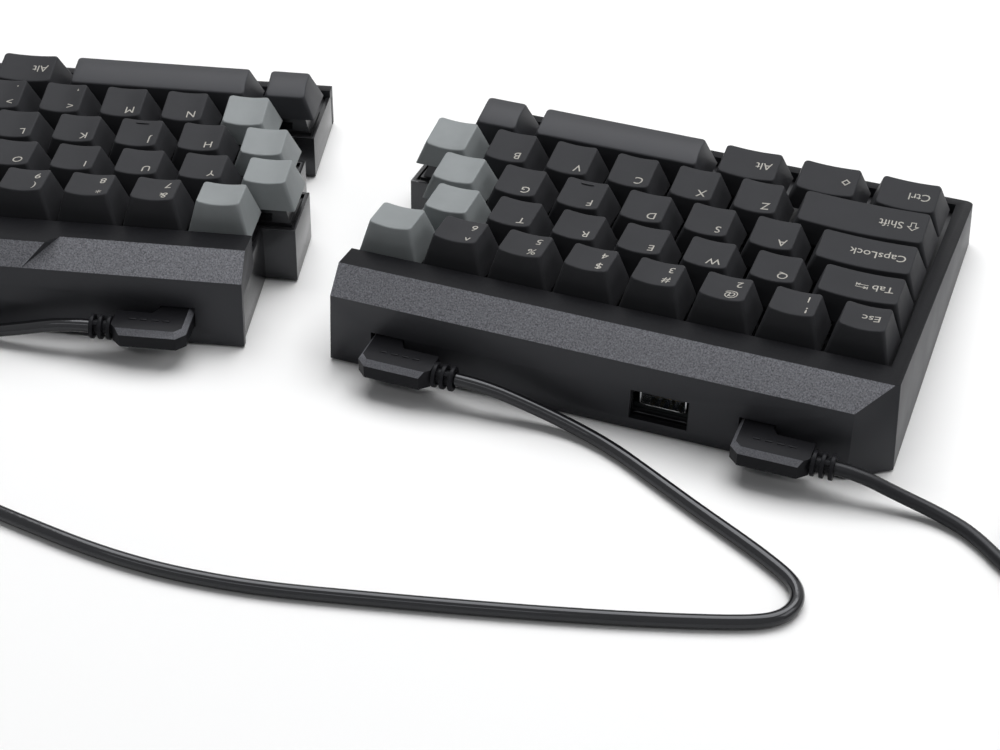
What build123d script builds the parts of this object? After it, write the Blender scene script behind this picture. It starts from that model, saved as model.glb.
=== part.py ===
from build123d import *
import math
import os

os.makedirs("parts", exist_ok=True)

# Split keyboard in two free halves. Each half is modelled in its own frame: x runs along the
# rows from the left edge of a full 15 unit layout, y runs away from the typist, z is up and
# the desk is z = 0. Distances into a half are counted from its outer side, called q.
# Heights above the sloping switch plate are called w, distances along it v.

# Key grid
key_pitch = 19.05
layout_units = 15
left_end_shares = [8, 7.5, 7.75, 8.25, 7.75]
right_end_shares = [9, 9.5, 9.25, 8.75, 9.25]
first_row_centre = 16.7
row_count = 5

# Where the right half lies on the desk beside the left one
right_turn = 13.45
right_shift_x = 94.96
right_shift_y = -19.13

# Sloping switch plate
plate_height = 11.6
plate_tilt = 3.49
plate_thickness = 1.5
plate_front_margin = 2.5
plate_seat = 0.2

# Switches: lower body through the plate, tapered top, square slider with a post for the cap
switch_cutout = 14.0
switch_play = 0.1
switch_depth = 5.0
switch_flange = 15.6
switch_top = 9.6
switch_height = 6.6
switch_floor = 0.8
slider_size = 6.2
slider_play = 0.05
slider_foot = 0.2
shoulder_height = 7.0
key_travel = 4.0

# Stabilisers under the wide keys
stabiliser_cutout = 7.0
stabiliser_flange = 8.0
stabiliser_top = 6.2
stabiliser_slider = 4.2
stabiliser_reach_small = 11.94
stabiliser_reach_large = 19.05
stabiliser_from_share = 2
stabiliser_large_from_share = 3

# Keycaps: shares of half the skirt depth and of the cap height, one line per row from the
# number row to the thumb row: rear edge place and height, front edge place and height
cap_gap = 0.95
cap_inset = 3.36
cap_height = 11.4
cap_skirt = 6.1
cap_wall = 1.2
cap_roof = 1.5
cap_corner = 1.5
cap_boss = 5.6
cap_dish = 0.8
cap_crown = 0.8
cap_trim = 0.05
row_top_shares = [
    (0.81, 1.00, -0.49, 1.00),
    (0.89, 0.79, -0.51, 0.86),
    (0.95, 0.705, -0.42, 0.87),
    (0.94, 0.65, -0.43, 0.90),
    (0.96, 0.645, -0.31, 0.905),
]

# Case outline at the desk, its sloping top and the bevel along the rear
side_rim = 5.9
front_rim = 5.8
rear_line = 119.5
case_draft = 3.5
corner_rear = 11.0
corner_side = 7.95
corner_radius = 3.0
case_lift = 0.6
rim_height = 14.9
rim_tilt = 6.76
ridge_line = 111.6
bevel_run = 6.6
bevel_drop = 6.9
case_wall = 2.0
cover_play = 0.1

# Raised panel in the middle of the right bevel, with slanted ends
panel_foot = 53.3
panel_slant = 9.9
panel_nose = 3.2
panel_run = 4.0

# Key well in the top cover
well_side = 0.3
well_front = 0.9
well_rear = 102.4
well_skirt = 1.6
rear_end_cap = 1.8
rear_end_overhang = 0.6
seam_height = 16.0
seam_gap = 0.2

# Tray
tray_play = 1.3
tray_floor = 2.0
tray_wall = 2.3
tray_lip = 1.2
tray_lip_height = 1.2
tray_step_margin = 2.0
tray_rib = 1.5

# Main circuit boards under the switches, port boards behind them
board_thickness = 1.6
board_margin = 0.8
port_board_depth = 10.0
port_board_margin = 2.0
port_pad_depth = 4.0

# Sockets in the rear wall
host_port = 30.4
link_port_left = 135.8
link_port_right = 153.3
hub_port = 57.35
port_axis_height = 9.1
hub_axis_height = 8.4
mini_width = 7.7
mini_height = 4.0
mini_depth = 9.0
socket_skin = 0.4
hub_width = 13.1
hub_height = 5.8
hub_depth = 10.0
hub_tongue = 1.8
hub_tongue_margin = 0.7
hub_window_width = 16.3
hub_window_height = 9.0
window_play = 0.3
socket_setback = 3.0

# Angled plugs
plug_length = 21.2
plug_depth = 9.3
plug_height = 5.5
plug_gap = 4.5
plug_stub = 9.3
plug_shoulder = 1.6
plug_corner = 2.6
plug_bevel = 1.2
plug_bevel_height = 1.7
plug_nose_length = 6.5
plug_nose_play = 0.1
relief_size = 7.0
relief_length = 6.4
relief_ring_share = 0.16
relief_core_share = 0.72
relief_sides = 12

# Cables
cord_size = 3.8
cord_sides = 6
cord_bend_share = 0.45
coil_turns = 7
coil_across_share = 12
coil_gap = 0.5
coil_centre_x = -74.0
coil_centre_y = 127.6
coil_start_angle = 53.0
coil_lead_share = 3.6
coil_tail = 40.0
link_lead = 8.4
host_lead = 5.5

# Plug for the computer at the end of the coil
usb_body_length = 24.0
usb_body_width = 15.6
usb_body_height = 8.6
usb_shell_length = 12.0
usb_shell_width = 12.0
usb_shell_height = 4.5
usb_shell_skin = 0.35
usb_tongue = 1.9
usb_relief_length = 8.0
usb_corner = 2.0

# Fasteners and feet
screw_head = 5.5
screw_head_height = 1.2
screw_shank = 2.6
screw_length = 9.0
screw_play = 0.3
screw_sides = 8
screw_fit = 0.03
screw_middle_share = 0.57
boss_size = 6.4
foot_length = 22.0
foot_width = 7.0
foot_sink = 0.5
foot_inset = 6.0

# Made larger than any piece, so that a cut always runs out of it
overrun = 2 * layout_units * key_pitch

plate_plane = Plane(
    origin=(0, 0, plate_height),
    x_dir=(1, 0, 0),
    z_dir=(0, -math.sin(math.radians(plate_tilt)), math.cos(math.radians(plate_tilt))),
)
rim_slope = math.tan(math.radians(rim_tilt))
tilt_cosine = math.cos(math.radians(plate_tilt))
plate_slope = math.tan(math.radians(plate_tilt))


def row_centre(row):
    return first_row_centre + (row_count - 1 - row) * key_pitch


def box_between(low, high):
    size = [high[i] - low[i] for i in range(3)]
    centre = [(high[i] + low[i]) / 2 for i in range(3)]
    return Pos(*centre) * Box(*size)


def facets(faces):
    return Solid(Shell([Face(Wire.make_polygon(points)) for points in faces]))


def on_plate(shape, x, v):
    return plate_plane * Pos(x, v, 0) * shape


def below_plate(w):
    slab = Pos(0, 0, w - overrun / 2) * Box(2 * overrun, 2 * overrun, overrun)
    return plate_plane * slab


# Keycaps
def cap_sides(width, row):
    """Half widths and depths of one cap: skirt, and the upper edges of its row."""
    half_x = width / 2 - cap_gap / 2
    half_v = key_pitch / 2 - cap_gap / 2
    top_x = width / 2 - cap_inset
    rear_share, rear_rise_share, front_share, front_rise_share = row_top_shares[row]
    rear = (rear_share * half_v, rear_rise_share * cap_height)
    front = (front_share * half_v, front_rise_share * cap_height)
    return half_x, half_v, top_x, rear, front


def cap_block(width, row, raise_by):
    half_x, half_v, top_x, rear, front = cap_sides(width, row)
    slope = (rear[1] - front[1]) / (rear[0] - front[0])

    def level(v):
        return cap_skirt + front[1] + slope * (v - front[0]) + raise_by

    def top(x, v):
        return (x, v, level(v))

    c = cap_corner
    skirt = {
        (sx, sv): (sx * half_x, sv * half_v, cap_skirt) for sx in (-1, 1) for sv in (-1, 1)
    }
    edge = {(sx, sv): rear[0] if sv > 0 else front[0] for sx in (-1, 1) for sv in (-1, 1)}
    along_x = {k: top(k[0] * (top_x - c), edge[k]) for k in skirt}
    along_v = {k: top(k[0] * top_x, edge[k] - k[1] * c) for k in skirt}
    faces = [
        [skirt[(-1, -1)], skirt[(-1, 1)], skirt[(1, 1)], skirt[(1, -1)]],
        [
            along_x[(-1, -1)],
            along_x[(1, -1)],
            along_v[(1, -1)],
            along_v[(1, 1)],
            along_x[(1, 1)],
            along_x[(-1, 1)],
            along_v[(-1, 1)],
            along_v[(-1, -1)],
        ],
    ]
    for sv in (-1, 1):
        faces.append([skirt[(-1, sv)], skirt[(1, sv)], along_x[(1, sv)], along_x[(-1, sv)]])
    for sx in (-1, 1):
        faces.append([skirt[(sx, -1)], skirt[(sx, 1)], along_v[(sx, -1)]])
        faces.append([skirt[(sx, 1)], along_v[(sx, 1)], along_v[(sx, -1)]])
    for k in skirt:
        faces.append([skirt[k], along_x[k], along_v[k]])
    return facets(faces)


def dished(width, row):
    """Cap with its top hollowed from side to side in three flats."""
    half_x, half_v, top_x, rear, front = cap_sides(width, row)
    middle_v = (rear[0] + front[0]) / 2
    middle_w = cap_skirt + (rear[1] + front[1]) / 2
    lean = math.degrees(math.atan2(rear[1] - front[1], rear[0] - front[0]))
    trough = [
        (-top_x, 0),
        (-top_x / 3, -cap_dish),
        (top_x / 3, -cap_dish),
        (top_x, 0),
        (top_x, key_pitch),
        (-top_x, key_pitch),
    ]
    trough = extrude(Plane.XZ * make_face(Polyline(*trough, close=True)), key_pitch, both=True)
    return cap_block(width, row, cap_trim) - Pos(0, middle_v, middle_w) * Rot(lean, 0, 0) * trough


def crowned(width, row):
    """Cap with its top rounded from front to rear."""
    half_x, half_v, top_x, rear, front = cap_sides(width, row)
    run = math.hypot(rear[0] - front[0], rear[1] - front[1])
    radius = (run**2 / 4 + cap_crown**2) / (2 * cap_crown)
    middle_v = (rear[0] + front[0]) / 2
    middle_w = cap_skirt + (rear[1] + front[1]) / 2
    lean = math.degrees(math.atan2(rear[1] - front[1], rear[0] - front[0]))
    roller = Pos(0, middle_v, middle_w) * Rot(lean, 0, 0)
    roller = roller * Pos(0, 0, cap_crown - radius) * Rot(0, 90, 0) * Cylinder(radius, 2 * width)
    return cap_block(width, row, cap_crown + cap_trim) & roller


def cap_ceiling(row):
    rear_rise_share, front_rise_share = row_top_shares[row][1], row_top_shares[row][3]
    rise = min(rear_rise_share, front_rise_share) * cap_height
    return cap_skirt + rise - cap_dish - cap_roof


def cap_cavity(width, row):
    half_x, half_v, top_x, rear, front = cap_sides(width, row)
    rise = cap_ceiling(row) - cap_skirt
    inset_x = (half_x - top_x) * rise / min(rear[1], front[1])
    rear_v = half_v + (rear[0] - half_v) * rise / rear[1]
    front_v = half_v + (-front[0] - half_v) * rise / front[1]
    low_x = half_x - cap_wall
    low_v = half_v - cap_wall
    high_x = low_x - inset_x
    low = [(-low_x, -low_v), (low_x, -low_v), (low_x, low_v), (-low_x, low_v)]
    high = [
        (-high_x, cap_wall - front_v),
        (high_x, cap_wall - front_v),
        (high_x, rear_v - cap_wall),
        (-high_x, rear_v - cap_wall),
    ]
    low = [(x, v, cap_skirt) for x, v in low]
    high = [(x, v, cap_ceiling(row)) for x, v in high]
    faces = [low, high]
    for i in range(4):
        j = (i + 1) % 4
        faces.append([low[i], low[j], high[j], high[i]])
    return facets(faces)


def boss_places(width_share):
    if width_share < stabiliser_from_share:
        return []
    if width_share < stabiliser_large_from_share:
        return [-stabiliser_reach_small, stabiliser_reach_small]
    return [-stabiliser_reach_large, stabiliser_reach_large]


def stem(x, boss, slider, row):
    """Boss inside a cap, seated on the slider that runs in the housing below it."""
    top = cap_ceiling(row) + cap_trim
    upper = box_between((x - boss / 2, -boss / 2, slider_foot), (x + boss / 2, boss / 2, top))
    half = slider / 2
    return upper + box_between((x - half, -half, slider_foot), (x + half, half, shoulder_height))


def key_cap(width_share, row, is_crowned):
    """Cap with its slider, which is one piece here so that the whole stays light."""
    width = width_share * key_pitch
    cap = crowned(width, row) if is_crowned else dished(width, row)
    cap -= cap_cavity(width, row)
    cap += stem(0, cap_boss, slider_size, row)
    for x in boss_places(width_share):
        cap += stem(x, stabiliser_slider - 2 * slider_play, stabiliser_slider, row)
    return cap.solid()


def housing(x, cutout, flange, top_size, bore_size):
    body_half = cutout / 2 - switch_play
    lower = box_between((x - body_half, -body_half, -switch_depth), (x + body_half, body_half, 0))
    rings = []
    for half, w in ((flange / 2, 0), (top_size / 2, switch_height)):
        rings.append([(x - half, -half, w), (x + half, -half, w), (x + half, half, w), (x - half, half, w)])
    faces = [rings[0], rings[1]]
    for i in range(4):
        j = (i + 1) % 4
        faces.append([rings[0][i], rings[0][j], rings[1][j], rings[1][i]])
    half = bore_size / 2 + slider_play
    bore = box_between(
        (x - half, -half, switch_floor - switch_depth), (x + half, half, switch_height + overrun)
    )
    return (lower + facets(faces) - bore).solid()


# Rows of keys: name and width of each key, as shares of the pitch, from the typist's left
left_row_shares = [
    [("key_esc", 1)] + [(f"key_{n}", 1) for n in range(1, 7)] + [("key_macro_1", 1)],
    [("key_tab", 1.5)] + [(f"key_{n}", 1) for n in "qwert"] + [("key_macro_2", 1)],
    [("key_caps_lock", 1.75)] + [(f"key_{n}", 1) for n in "asdfg"] + [("key_macro_3", 1)],
    [("key_left_shift", 2.25)] + [(f"key_{n}", 1) for n in "zxcvb"] + [("key_macro_4", 1)],
    [
        ("key_left_ctrl", 1.25),
        ("key_left_meta", 1.25),
        ("key_left_alt", 1.25),
        ("key_left_space", 3),
        ("key_macro_5", 1),
    ],
]
right_bank_names = [
    "right_number_keys",
    "right_upper_keys",
    "right_home_keys",
    "right_lower_keys",
    "right_thumb_keys",
]
right_row_shares = [
    [1] * 7 + [2],
    [1] * 8 + [1.5],
    [1] * 7 + [2.25],
    [1] * 6 + [2.75],
    [1, 3.25, 1.25, 1.25, 1.25, 1.25],
]
crowned_names = ["key_left_space", "key_macro_5"]
crowned_right_count = 2


def key_list(side):
    """Every key of one half: node name, row, width share, centre x and kind of top."""
    keys = []
    for row in range(row_count):
        if side == "left":
            x = 0
            entries = [(name, share, name in crowned_names) for name, share in left_row_shares[row]]
        else:
            x = (layout_units - right_end_shares[row]) * key_pitch
            shares = right_row_shares[row]
            entries = [
                (right_bank_names[row], share, row == row_count - 1 and i < crowned_right_count)
                for i, share in enumerate(shares)
            ]
        for name, share, is_crowned in entries:
            keys.append((name, row, share, x + share * key_pitch / 2, is_crowned))
            x += share * key_pitch
    return keys


# Case
def footprint(inset, end_q):
    """Outline of the case on the desk as far in as end_q, moved in by inset."""
    side = -side_rim + inset
    front = -front_rim + inset
    rear = rear_line - inset
    points = [
        (side, front),
        (end_q, front),
        (end_q, rear),
        (side + corner_rear, rear),
        (side, rear - corner_side),
    ]
    face = make_face(Polyline(*points, close=True))
    if inset > 0:
        return face
    corner = face.vertices().sort_by_distance((side, front))[0]
    return fillet(corner, corner_radius)


def drafted(inset, end_q):
    """The case outline drawn up from the desk with its draft."""
    tall = rim_height + overrun * rim_slope
    block = extrude(footprint(inset, end_q), amount=tall, taper=case_draft)
    return Pos(0, 0, case_lift) * block


def under_roof(depth):
    """Everything below the sloping top and the rear bevel, depth under the surface."""
    ridge = (ridge_line, rim_height + rim_slope * ridge_line)
    run_out = overrun / bevel_run
    points = [
        (-overrun, -overrun),
        (-overrun, rim_height - rim_slope * overrun),
        ridge,
        (ridge[0] + bevel_run * run_out, ridge[1] - bevel_drop * run_out),
        (ridge[0] + bevel_run * run_out, -2 * overrun),
        (-overrun, -2 * overrun),
    ]
    face = make_face(Polyline(*points[1:], close=True))
    if depth > 0:
        face = offset(face, amount=-depth, kind=Kind.INTERSECTION)
    return Pos(-overrun, 0, 0) * extrude(Plane.YZ * face, amount=2 * overrun)


def tray_outline(inset, end_shares):
    """Stepped outline of the tray, with one step of the inner side for each row."""
    side = -side_rim + case_wall + tray_play + inset
    front = -front_rim + case_wall + tray_play + inset
    rear = rear_line - case_wall - tray_play - inset
    points = [(side, front), (side, rear - corner_side), (side + corner_rear, rear)]
    points.append((end_shares[0] * key_pitch - inset, rear))
    for row in range(row_count - 1):
        step = math.copysign(1, end_shares[row + 1] - end_shares[row]) * (tray_step_margin - inset)
        border = (row_centre(row) - key_pitch / 2) * tilt_cosine + step
        points.append((end_shares[row] * key_pitch - inset, border))
        points.append((end_shares[row + 1] * key_pitch - inset, border))
    points.append((end_shares[-1] * key_pitch - inset, front))
    return points


def plate_outline(inset, end_shares):
    """Stepped outline of the switch plate and the board below it."""
    side = -side_rim + case_wall + tray_play
    points = [
        (side - plate_seat + inset, -plate_front_margin + inset),
        (side - plate_seat + inset, well_rear + well_skirt - inset),
    ]
    lip = tray_lip + plate_seat + inset
    points.append((end_shares[0] * key_pitch - lip, well_rear + well_skirt - inset))
    for row in range(row_count - 1):
        step = math.copysign(1, end_shares[row + 1] - end_shares[row]) * (tray_step_margin - lip)
        border = row_centre(row) - key_pitch / 2 + step
        points.append((end_shares[row] * key_pitch - lip, border))
        points.append((end_shares[row + 1] * key_pitch - lip, border))
    points.append((end_shares[-1] * key_pitch - lip, -plate_front_margin + inset))
    return points


# Each socket sits on a small board of its own behind the keys
board_rear = rear_line - case_wall - tray_play - tray_wall - cover_play
socket_sizes = {"mini": (mini_width, mini_height), "hub": (hub_width, hub_height)}
socket_levels = {"mini": port_axis_height, "hub": hub_axis_height}
window_sizes = {
    "mini": (plug_stub + 2 * window_play, plug_height + 2 * window_play),
    "hub": (hub_window_width, hub_window_height),
}


def port_windows(ports):
    """Openings through the rear wall of the case and of the tray."""
    cuts = []
    for kind, q in ports:
        width, height = window_sizes[kind]
        middle = socket_levels[kind]
        low = (q - width / 2, board_rear, middle - height / 2)
        cuts.append(box_between(low, (q + width / 2, rear_line + case_wall, middle + height / 2)))
    return cuts


def port_board_corners(kind, q):
    width, height = socket_sizes[kind]
    reach = width / 2 + port_board_margin
    top = socket_levels[kind] - height / 2
    return (q - reach, board_rear - port_board_depth, top - board_thickness), (q + reach, board_rear, top)


def port_pads(ports):
    """Ribs on the tray floor that carry the port boards."""
    pads = []
    for kind, q in ports:
        low, high = port_board_corners(kind, q)
        middle = (low[1] + high[1] - port_pad_depth) / 2
        corner = (low[0], middle, case_lift + tray_floor / 2)
        pads.append(box_between(corner, (high[0], middle + port_pad_depth, low[2])))
    return pads


def screw_places(end_shares):
    y = (well_rear + well_skirt + rear_line - case_wall - tray_play) / 2
    end = end_shares[0] * key_pitch
    return [(corner_rear, y), (end * screw_middle_share, y), (end - boss_size, y)]


def screw_bar(size, length):
    """Upright bar with few sides, for the screws, their holes and their bosses."""
    return extrude(RegularPolygon(size / 2, screw_sides), length)


def top_cover(end_shares, ports):
    end_q = end_shares[0] * key_pitch + rear_end_overhang
    front_end = end_shares[-1] * key_pitch
    far = end_q + 2 * key_pitch
    middle = well_rear / 2
    outside = drafted(0, far) & under_roof(0)
    inside = drafted(case_wall, far + key_pitch)
    rear_room = box_between(
        (-overrun, well_rear + well_skirt, -overrun), (end_q - rear_end_cap, overrun, overrun)
    )
    well = box_between((-well_side, -well_front, -overrun), (overrun, well_rear, overrun))
    cover = outside - (inside & below_plate(cover_play)) - (inside & under_roof(case_wall) & rear_room)
    cover -= well
    cover -= box_between((end_q, middle, -overrun), (overrun, overrun, overrun))
    cover -= box_between((front_end, -overrun, -overrun), (overrun, middle, overrun))
    end_cap = box_between(
        (end_q - rear_end_cap, well_rear, seam_height + seam_gap), (end_q, overrun, overrun)
    )
    cover += end_cap & outside
    for x, y in screw_places(end_shares):
        boss = Pos(x, y, 0) * screw_bar(boss_size, overrun)
        floor_top = case_lift + tray_floor + screw_play
        cover += boss & under_roof(case_wall / 2) & box_between(
            (-overrun, -overrun, floor_top), (overrun, overrun, overrun)
        )
        cover -= Pos(x, y, case_lift) * screw_bar(screw_shank, screw_length)
    for cut in port_windows(ports):
        cover -= cut
    return cover.solids().sort_by(SortBy.VOLUME)[-1]


def raised_panel(end_shares):
    """Panel on the rear bevel: it starts flush at the bevel's foot and stands out at its ridge."""
    middle = (end_shares[0] * key_pitch - side_rim) / 2
    foot = (ridge_line + bevel_run, rim_height + rim_slope * ridge_line - bevel_drop)
    ridge = (ridge_line, rim_height + rim_slope * ridge_line)
    edge = (ridge_line + panel_run, rim_height + rim_slope * (ridge_line + panel_run))
    reach = panel_foot / 2
    ends = [(reach, foot), (reach + panel_slant, ridge), (reach + panel_slant - panel_nose, edge)]
    low, ridges, edges = [[(middle + side * half, *place) for side in (-1, 1)] for half, place in ends]
    return facets([
        [low[0], low[1], ridges[1], ridges[0]],
        [low[0], low[1], edges[1], edges[0]],
        [ridges[0], ridges[1], edges[1], edges[0]],
        [low[0], ridges[0], edges[0]],
        [low[1], ridges[1], edges[1]],
    ])


def bottom_cover(end_shares, ports):
    tall = seam_height + overrun * plate_slope
    outline = make_face(Polyline(*tray_outline(0, end_shares), close=True))
    body = Pos(0, 0, case_lift) * extrude(outline, tall)
    body &= below_plate(tray_lip_height)
    rear_top = box_between((-overrun, well_rear - cover_play, seam_height), (overrun, overrun, overrun))
    body -= rear_top
    front_top = box_between((-overrun, -overrun, 0), (overrun, cover_play - well_front, overrun))
    body -= plate_plane * front_top
    room = make_face(Polyline(*tray_outline(tray_wall, end_shares), close=True))
    body -= Pos(0, 0, case_lift + tray_floor) * extrude(room, tall)
    outer_side = -side_rim + case_wall + tray_play
    recess = [
        (q - key_pitch if q < outer_side + key_pitch else q, v - key_pitch if v < 0 else v)
        for q, v in plate_outline(-plate_seat, end_shares)
    ]
    recess = extrude(make_face(Polyline(*recess, close=True)), overrun)
    body -= plate_plane * Pos(0, 0, -plate_thickness) * recess
    rib_low = (outer_side + tray_wall / 2, well_rear - tray_rib / 2, case_lift)
    rib_high = (end_shares[0] * key_pitch - tray_wall + cover_play, well_rear + tray_rib / 2, overrun)
    body += box_between(rib_low, rib_high) & below_plate(-plate_thickness)
    for x, y in screw_places(end_shares):
        body -= Pos(x, y, 0) * screw_bar(screw_head + 2 * screw_play, case_lift + screw_head_height)
        body -= Pos(x, y, 0) * screw_bar(screw_shank + 2 * screw_play, screw_length)
    for cut in port_windows(ports):
        body -= cut
    for pad in port_pads(ports):
        body += pad
    for low, high in foot_boxes(end_shares):
        body -= box_between(low, high)
    return body.solids().sort_by(SortBy.VOLUME)[-1]


def switch_plate(side, end_shares):
    sheet = extrude(make_face(Polyline(*plate_outline(0, end_shares), close=True)), -plate_thickness)
    for name, row, share, x, is_crowned in key_list(side):
        q = x if side == "left" else layout_units * key_pitch - x
        places = [(0, switch_cutout)] + [(dx, stabiliser_cutout) for dx in boss_places(share)]
        for dx, size in places:
            sheet -= Pos(q + dx, row_centre(row), 0) * Box(size, size, 4 * plate_thickness)
    return (plate_plane * sheet).solid()


def circuit_board(end_shares):
    inset = tray_wall + board_margin
    points = plate_outline(inset, end_shares)
    face = make_face(Polyline(*points, close=True))
    return (plate_plane * Pos(0, 0, -switch_depth) * extrude(face, -board_thickness)).solid()


def port_board(kind, q):
    return box_between(*port_board_corners(kind, q)).solid()


def foot_boxes(end_shares):
    boxes = []
    for q in (foot_inset, end_shares[-1] * key_pitch - foot_inset - foot_length):
        for y in (foot_inset, rear_line - corner_side - 2 * foot_inset - foot_width):
            low = (q, y, case_lift - key_pitch)
            boxes.append((low, (q + foot_length, y + foot_width, case_lift + foot_sink)))
    return boxes


def feet(end_shares):
    pads = []
    for low, high in foot_boxes(end_shares):
        pads.append(box_between((low[0], low[1], 0), high).solid())
    return pads


def screws(end_shares):
    parts = []
    for x, y in screw_places(end_shares):
        head = Pos(x, y, case_lift) * screw_bar(screw_head, screw_head_height)
        shank = Pos(x, y, case_lift) * screw_bar(screw_shank - 2 * screw_fit, screw_length)
        parts.append((head + shank).solid())
    return parts


# Sockets and plugs
def tube_box(width, height, depth, skin):
    """Open rectangular shell with its mouth at y = 0 and its closed back at -depth."""
    shell = box_between((-width / 2, -depth, -height / 2), (width / 2, 0, height / 2))
    hollow = box_between(
        (skin - width / 2, skin - depth, skin - height / 2), (width / 2 - skin, depth, height / 2 - skin)
    )
    return shell - hollow


def socket_face():
    return rear_line - case_wall - socket_setback


def mini_socket(q):
    shell = tube_box(mini_width, mini_height, mini_depth, socket_skin)
    return (Pos(q, socket_face(), port_axis_height) * shell).solid()


def hub_socket(q):
    tongue = box_between(
        (hub_tongue_margin - hub_width / 2, -hub_depth, 0),
        (hub_width / 2 - hub_tongue_margin, -hub_tongue, hub_tongue),
    )
    shell = tube_box(hub_width, hub_height, hub_depth, socket_skin)
    return (Pos(q, socket_face(), hub_axis_height) * (shell + tongue)).solid()


def prism(size, length, x):
    """Many sided bar along -x from x."""
    face = Plane.YZ * RegularPolygon(size / 2, relief_sides)
    return Pos(x - length, 0, 0) * extrude(face, length, dir=(1, 0, 0))


def relief(length, size, x):
    """Ribbed strain relief along -x from x, with three rings."""
    ring = relief_ring_share * length
    step = (length - ring) / 2
    parts = prism(relief_core_share * size, length, x)
    for i in range(3):
        parts += prism(size, ring, x - i * step)
    return parts


def plug_bevel_cut():
    """Wedge along x that takes the bevel off a plug's upper edge, outward being +y."""
    section = [
        (-plug_bevel, 0),
        (plug_bevel, -2 * plug_bevel_height),
        (plug_bevel, plug_bevel_height),
        (-plug_bevel, plug_bevel_height),
    ]
    face = Plane.YZ * make_face(Polyline(*section, close=True))
    return extrude(face, plug_length, both=True)


def angled_plug():
    """Plug whose nose points along -y at x = 0 and whose cable leaves along -x."""
    right = plug_stub / 2
    left = right - plug_length
    near = plug_gap + plug_depth
    outline = [
        (right, -socket_setback / 2),
        (-right, -socket_setback / 2),
        (-right, case_wall),
        (-right - plug_shoulder, plug_gap),
        (left, plug_gap),
        (left, near - plug_corner),
        (left + plug_corner, near),
        (right - plug_corner, near),
        (right, near - plug_corner),
    ]
    face = make_face(Polyline(*outline, close=True))
    body = Pos(0, 0, -plug_height / 2) * extrude(face, plug_height)
    for x, y, turn in ((left, near, 0), (right, near - plug_corner, -45), (right, near, -90)):
        body -= Pos(x, y, plug_height / 2) * Rot(0, 0, turn) * plug_bevel_cut()
    exit_y = plug_gap + plug_depth / 2
    body += Pos(0, exit_y, 0) * relief(relief_length, relief_size, left)
    nose_width = mini_width - 2 * socket_skin - 2 * plug_nose_play
    nose_height = mini_height - 2 * socket_skin - 2 * plug_nose_play
    back = -socket_setback - plug_nose_length
    body += box_between(
        (-nose_width / 2, back, -nose_height / 2), (nose_width / 2, -socket_setback / 2, nose_height / 2)
    )
    return body.solid()


def plug_at(q):
    return Pos(q, rear_line - case_wall, port_axis_height) * angled_plug()


def usb_plug():
    """Plug for the computer: cable enters at the origin along +x, shell at the far end."""
    low = (0, -usb_body_width / 2, -usb_body_height / 2)
    high = (usb_body_length, usb_body_width / 2, usb_body_height / 2)
    body = box_between(low, high)
    body = chamfer(body.edges().filter_by(Axis.Z), usb_corner)
    body = Pos(usb_relief_length, 0, 0) * body
    body += relief(usb_relief_length, relief_size, usb_relief_length)
    start = usb_relief_length + usb_body_length
    shell = Rot(0, 0, -90) * tube_box(usb_shell_width, usb_shell_height, usb_shell_length, usb_shell_skin)
    body += Pos(start + usb_shell_length, 0, 0) * shell
    tongue = box_between(
        (start, usb_shell_skin - usb_shell_width / 2, usb_shell_skin - usb_shell_height / 2),
        (start + usb_shell_length - usb_tongue / 2, usb_shell_width / 2 - usb_shell_skin,
         usb_shell_skin - usb_shell_height / 2 + usb_tongue),
    )
    return (body + tongue).solid()


# Cables
cord_radius = cord_size / 2
climb_turns = 0.5
arc_turns = 0.25
near_share = 0.004
plug_exit_y = rear_line - case_wall + plug_gap + plug_depth / 2
plug_exit_reach = plug_length - plug_stub / 2 + relief_length
# Corners of the two loose cables as shares of the key pitch: place on the desk and lift off it
link_route_shares = [
    (4.808, 6.625, 0.205),
    (4.136, 6.667, 0.047),
    (3.465, 6.887, 0),
    (2.756, 7.291, 0),
    (1.995, 7.732, 0),
    (1.26, 8.131, 0),
    (0.829, 8.386, 0),
    (0.504, 8.609, 0),
    (0.346, 8.824, 0),
    (0.31, 9.06, 0),
    (0.388, 9.297, 0),
    (0.572, 9.48, 0),
    (0.913, 9.643, 0),
    (1.68, 9.9, 0),
    (2.625, 10.184, 0),
    (3.99, 10.546, 0),
    (5.564, 10.929, 0),
    (7.192, 11.297, 0),
    (8.819, 11.402, 0),
    (10.761, 11.129, 0),
    (12.205, 10.856, 0),
    (13.475, 10.572, 0),
    (14.094, 10.005, 0),
    (14.336, 9.192, 0),
    (14.126, 8.373, 0),
    (13.622, 7.848, 0),
    (13.076, 7.706, 0.058),
    (12.425, 7.585, 0.21),
]
host_route_shares = [
    (-0.53, 6.622, 0.147),
    (-1.076, 6.672, 0.031),
    (-1.601, 6.887, 0),
]


def route_points(shares):
    return [(x * key_pitch, y * key_pitch, cord_radius + lift * key_pitch) for x, y, lift in shares]


def cord_section(plane):
    return plane * RegularPolygon(cord_radius, cord_sides)


def bend_radii(points):
    """Radius at each corner of a route: 0.45 of the shorter run over the tangent of half the turn."""
    radii = []
    for before, at, after in zip(points, points[1:], points[2:]):
        first = Vector(*at) - Vector(*before)
        second = Vector(*after) - Vector(*at)
        turn = math.radians(first.get_angle(second))
        shorter = min(first.length, second.length)
        radii.append(cord_bend_share * shorter / math.tan(turn / 2))
    return radii


def tube(points, label):
    radii = bend_radii(points)
    path = FilletPolyline(*points, radius=radii)
    start = Plane(origin=path @ 0, z_dir=path % 0)
    solid = sweep(cord_section(start), path=path)
    area = cord_section(start).area
    print(label, "length", round(path.length, 1), "bends", [round(radius, 1) for radius in radii])
    print(label, "volume over section times length", round(solid.volume / (area * path.length), 4))
    return solid.solid(), path


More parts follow.
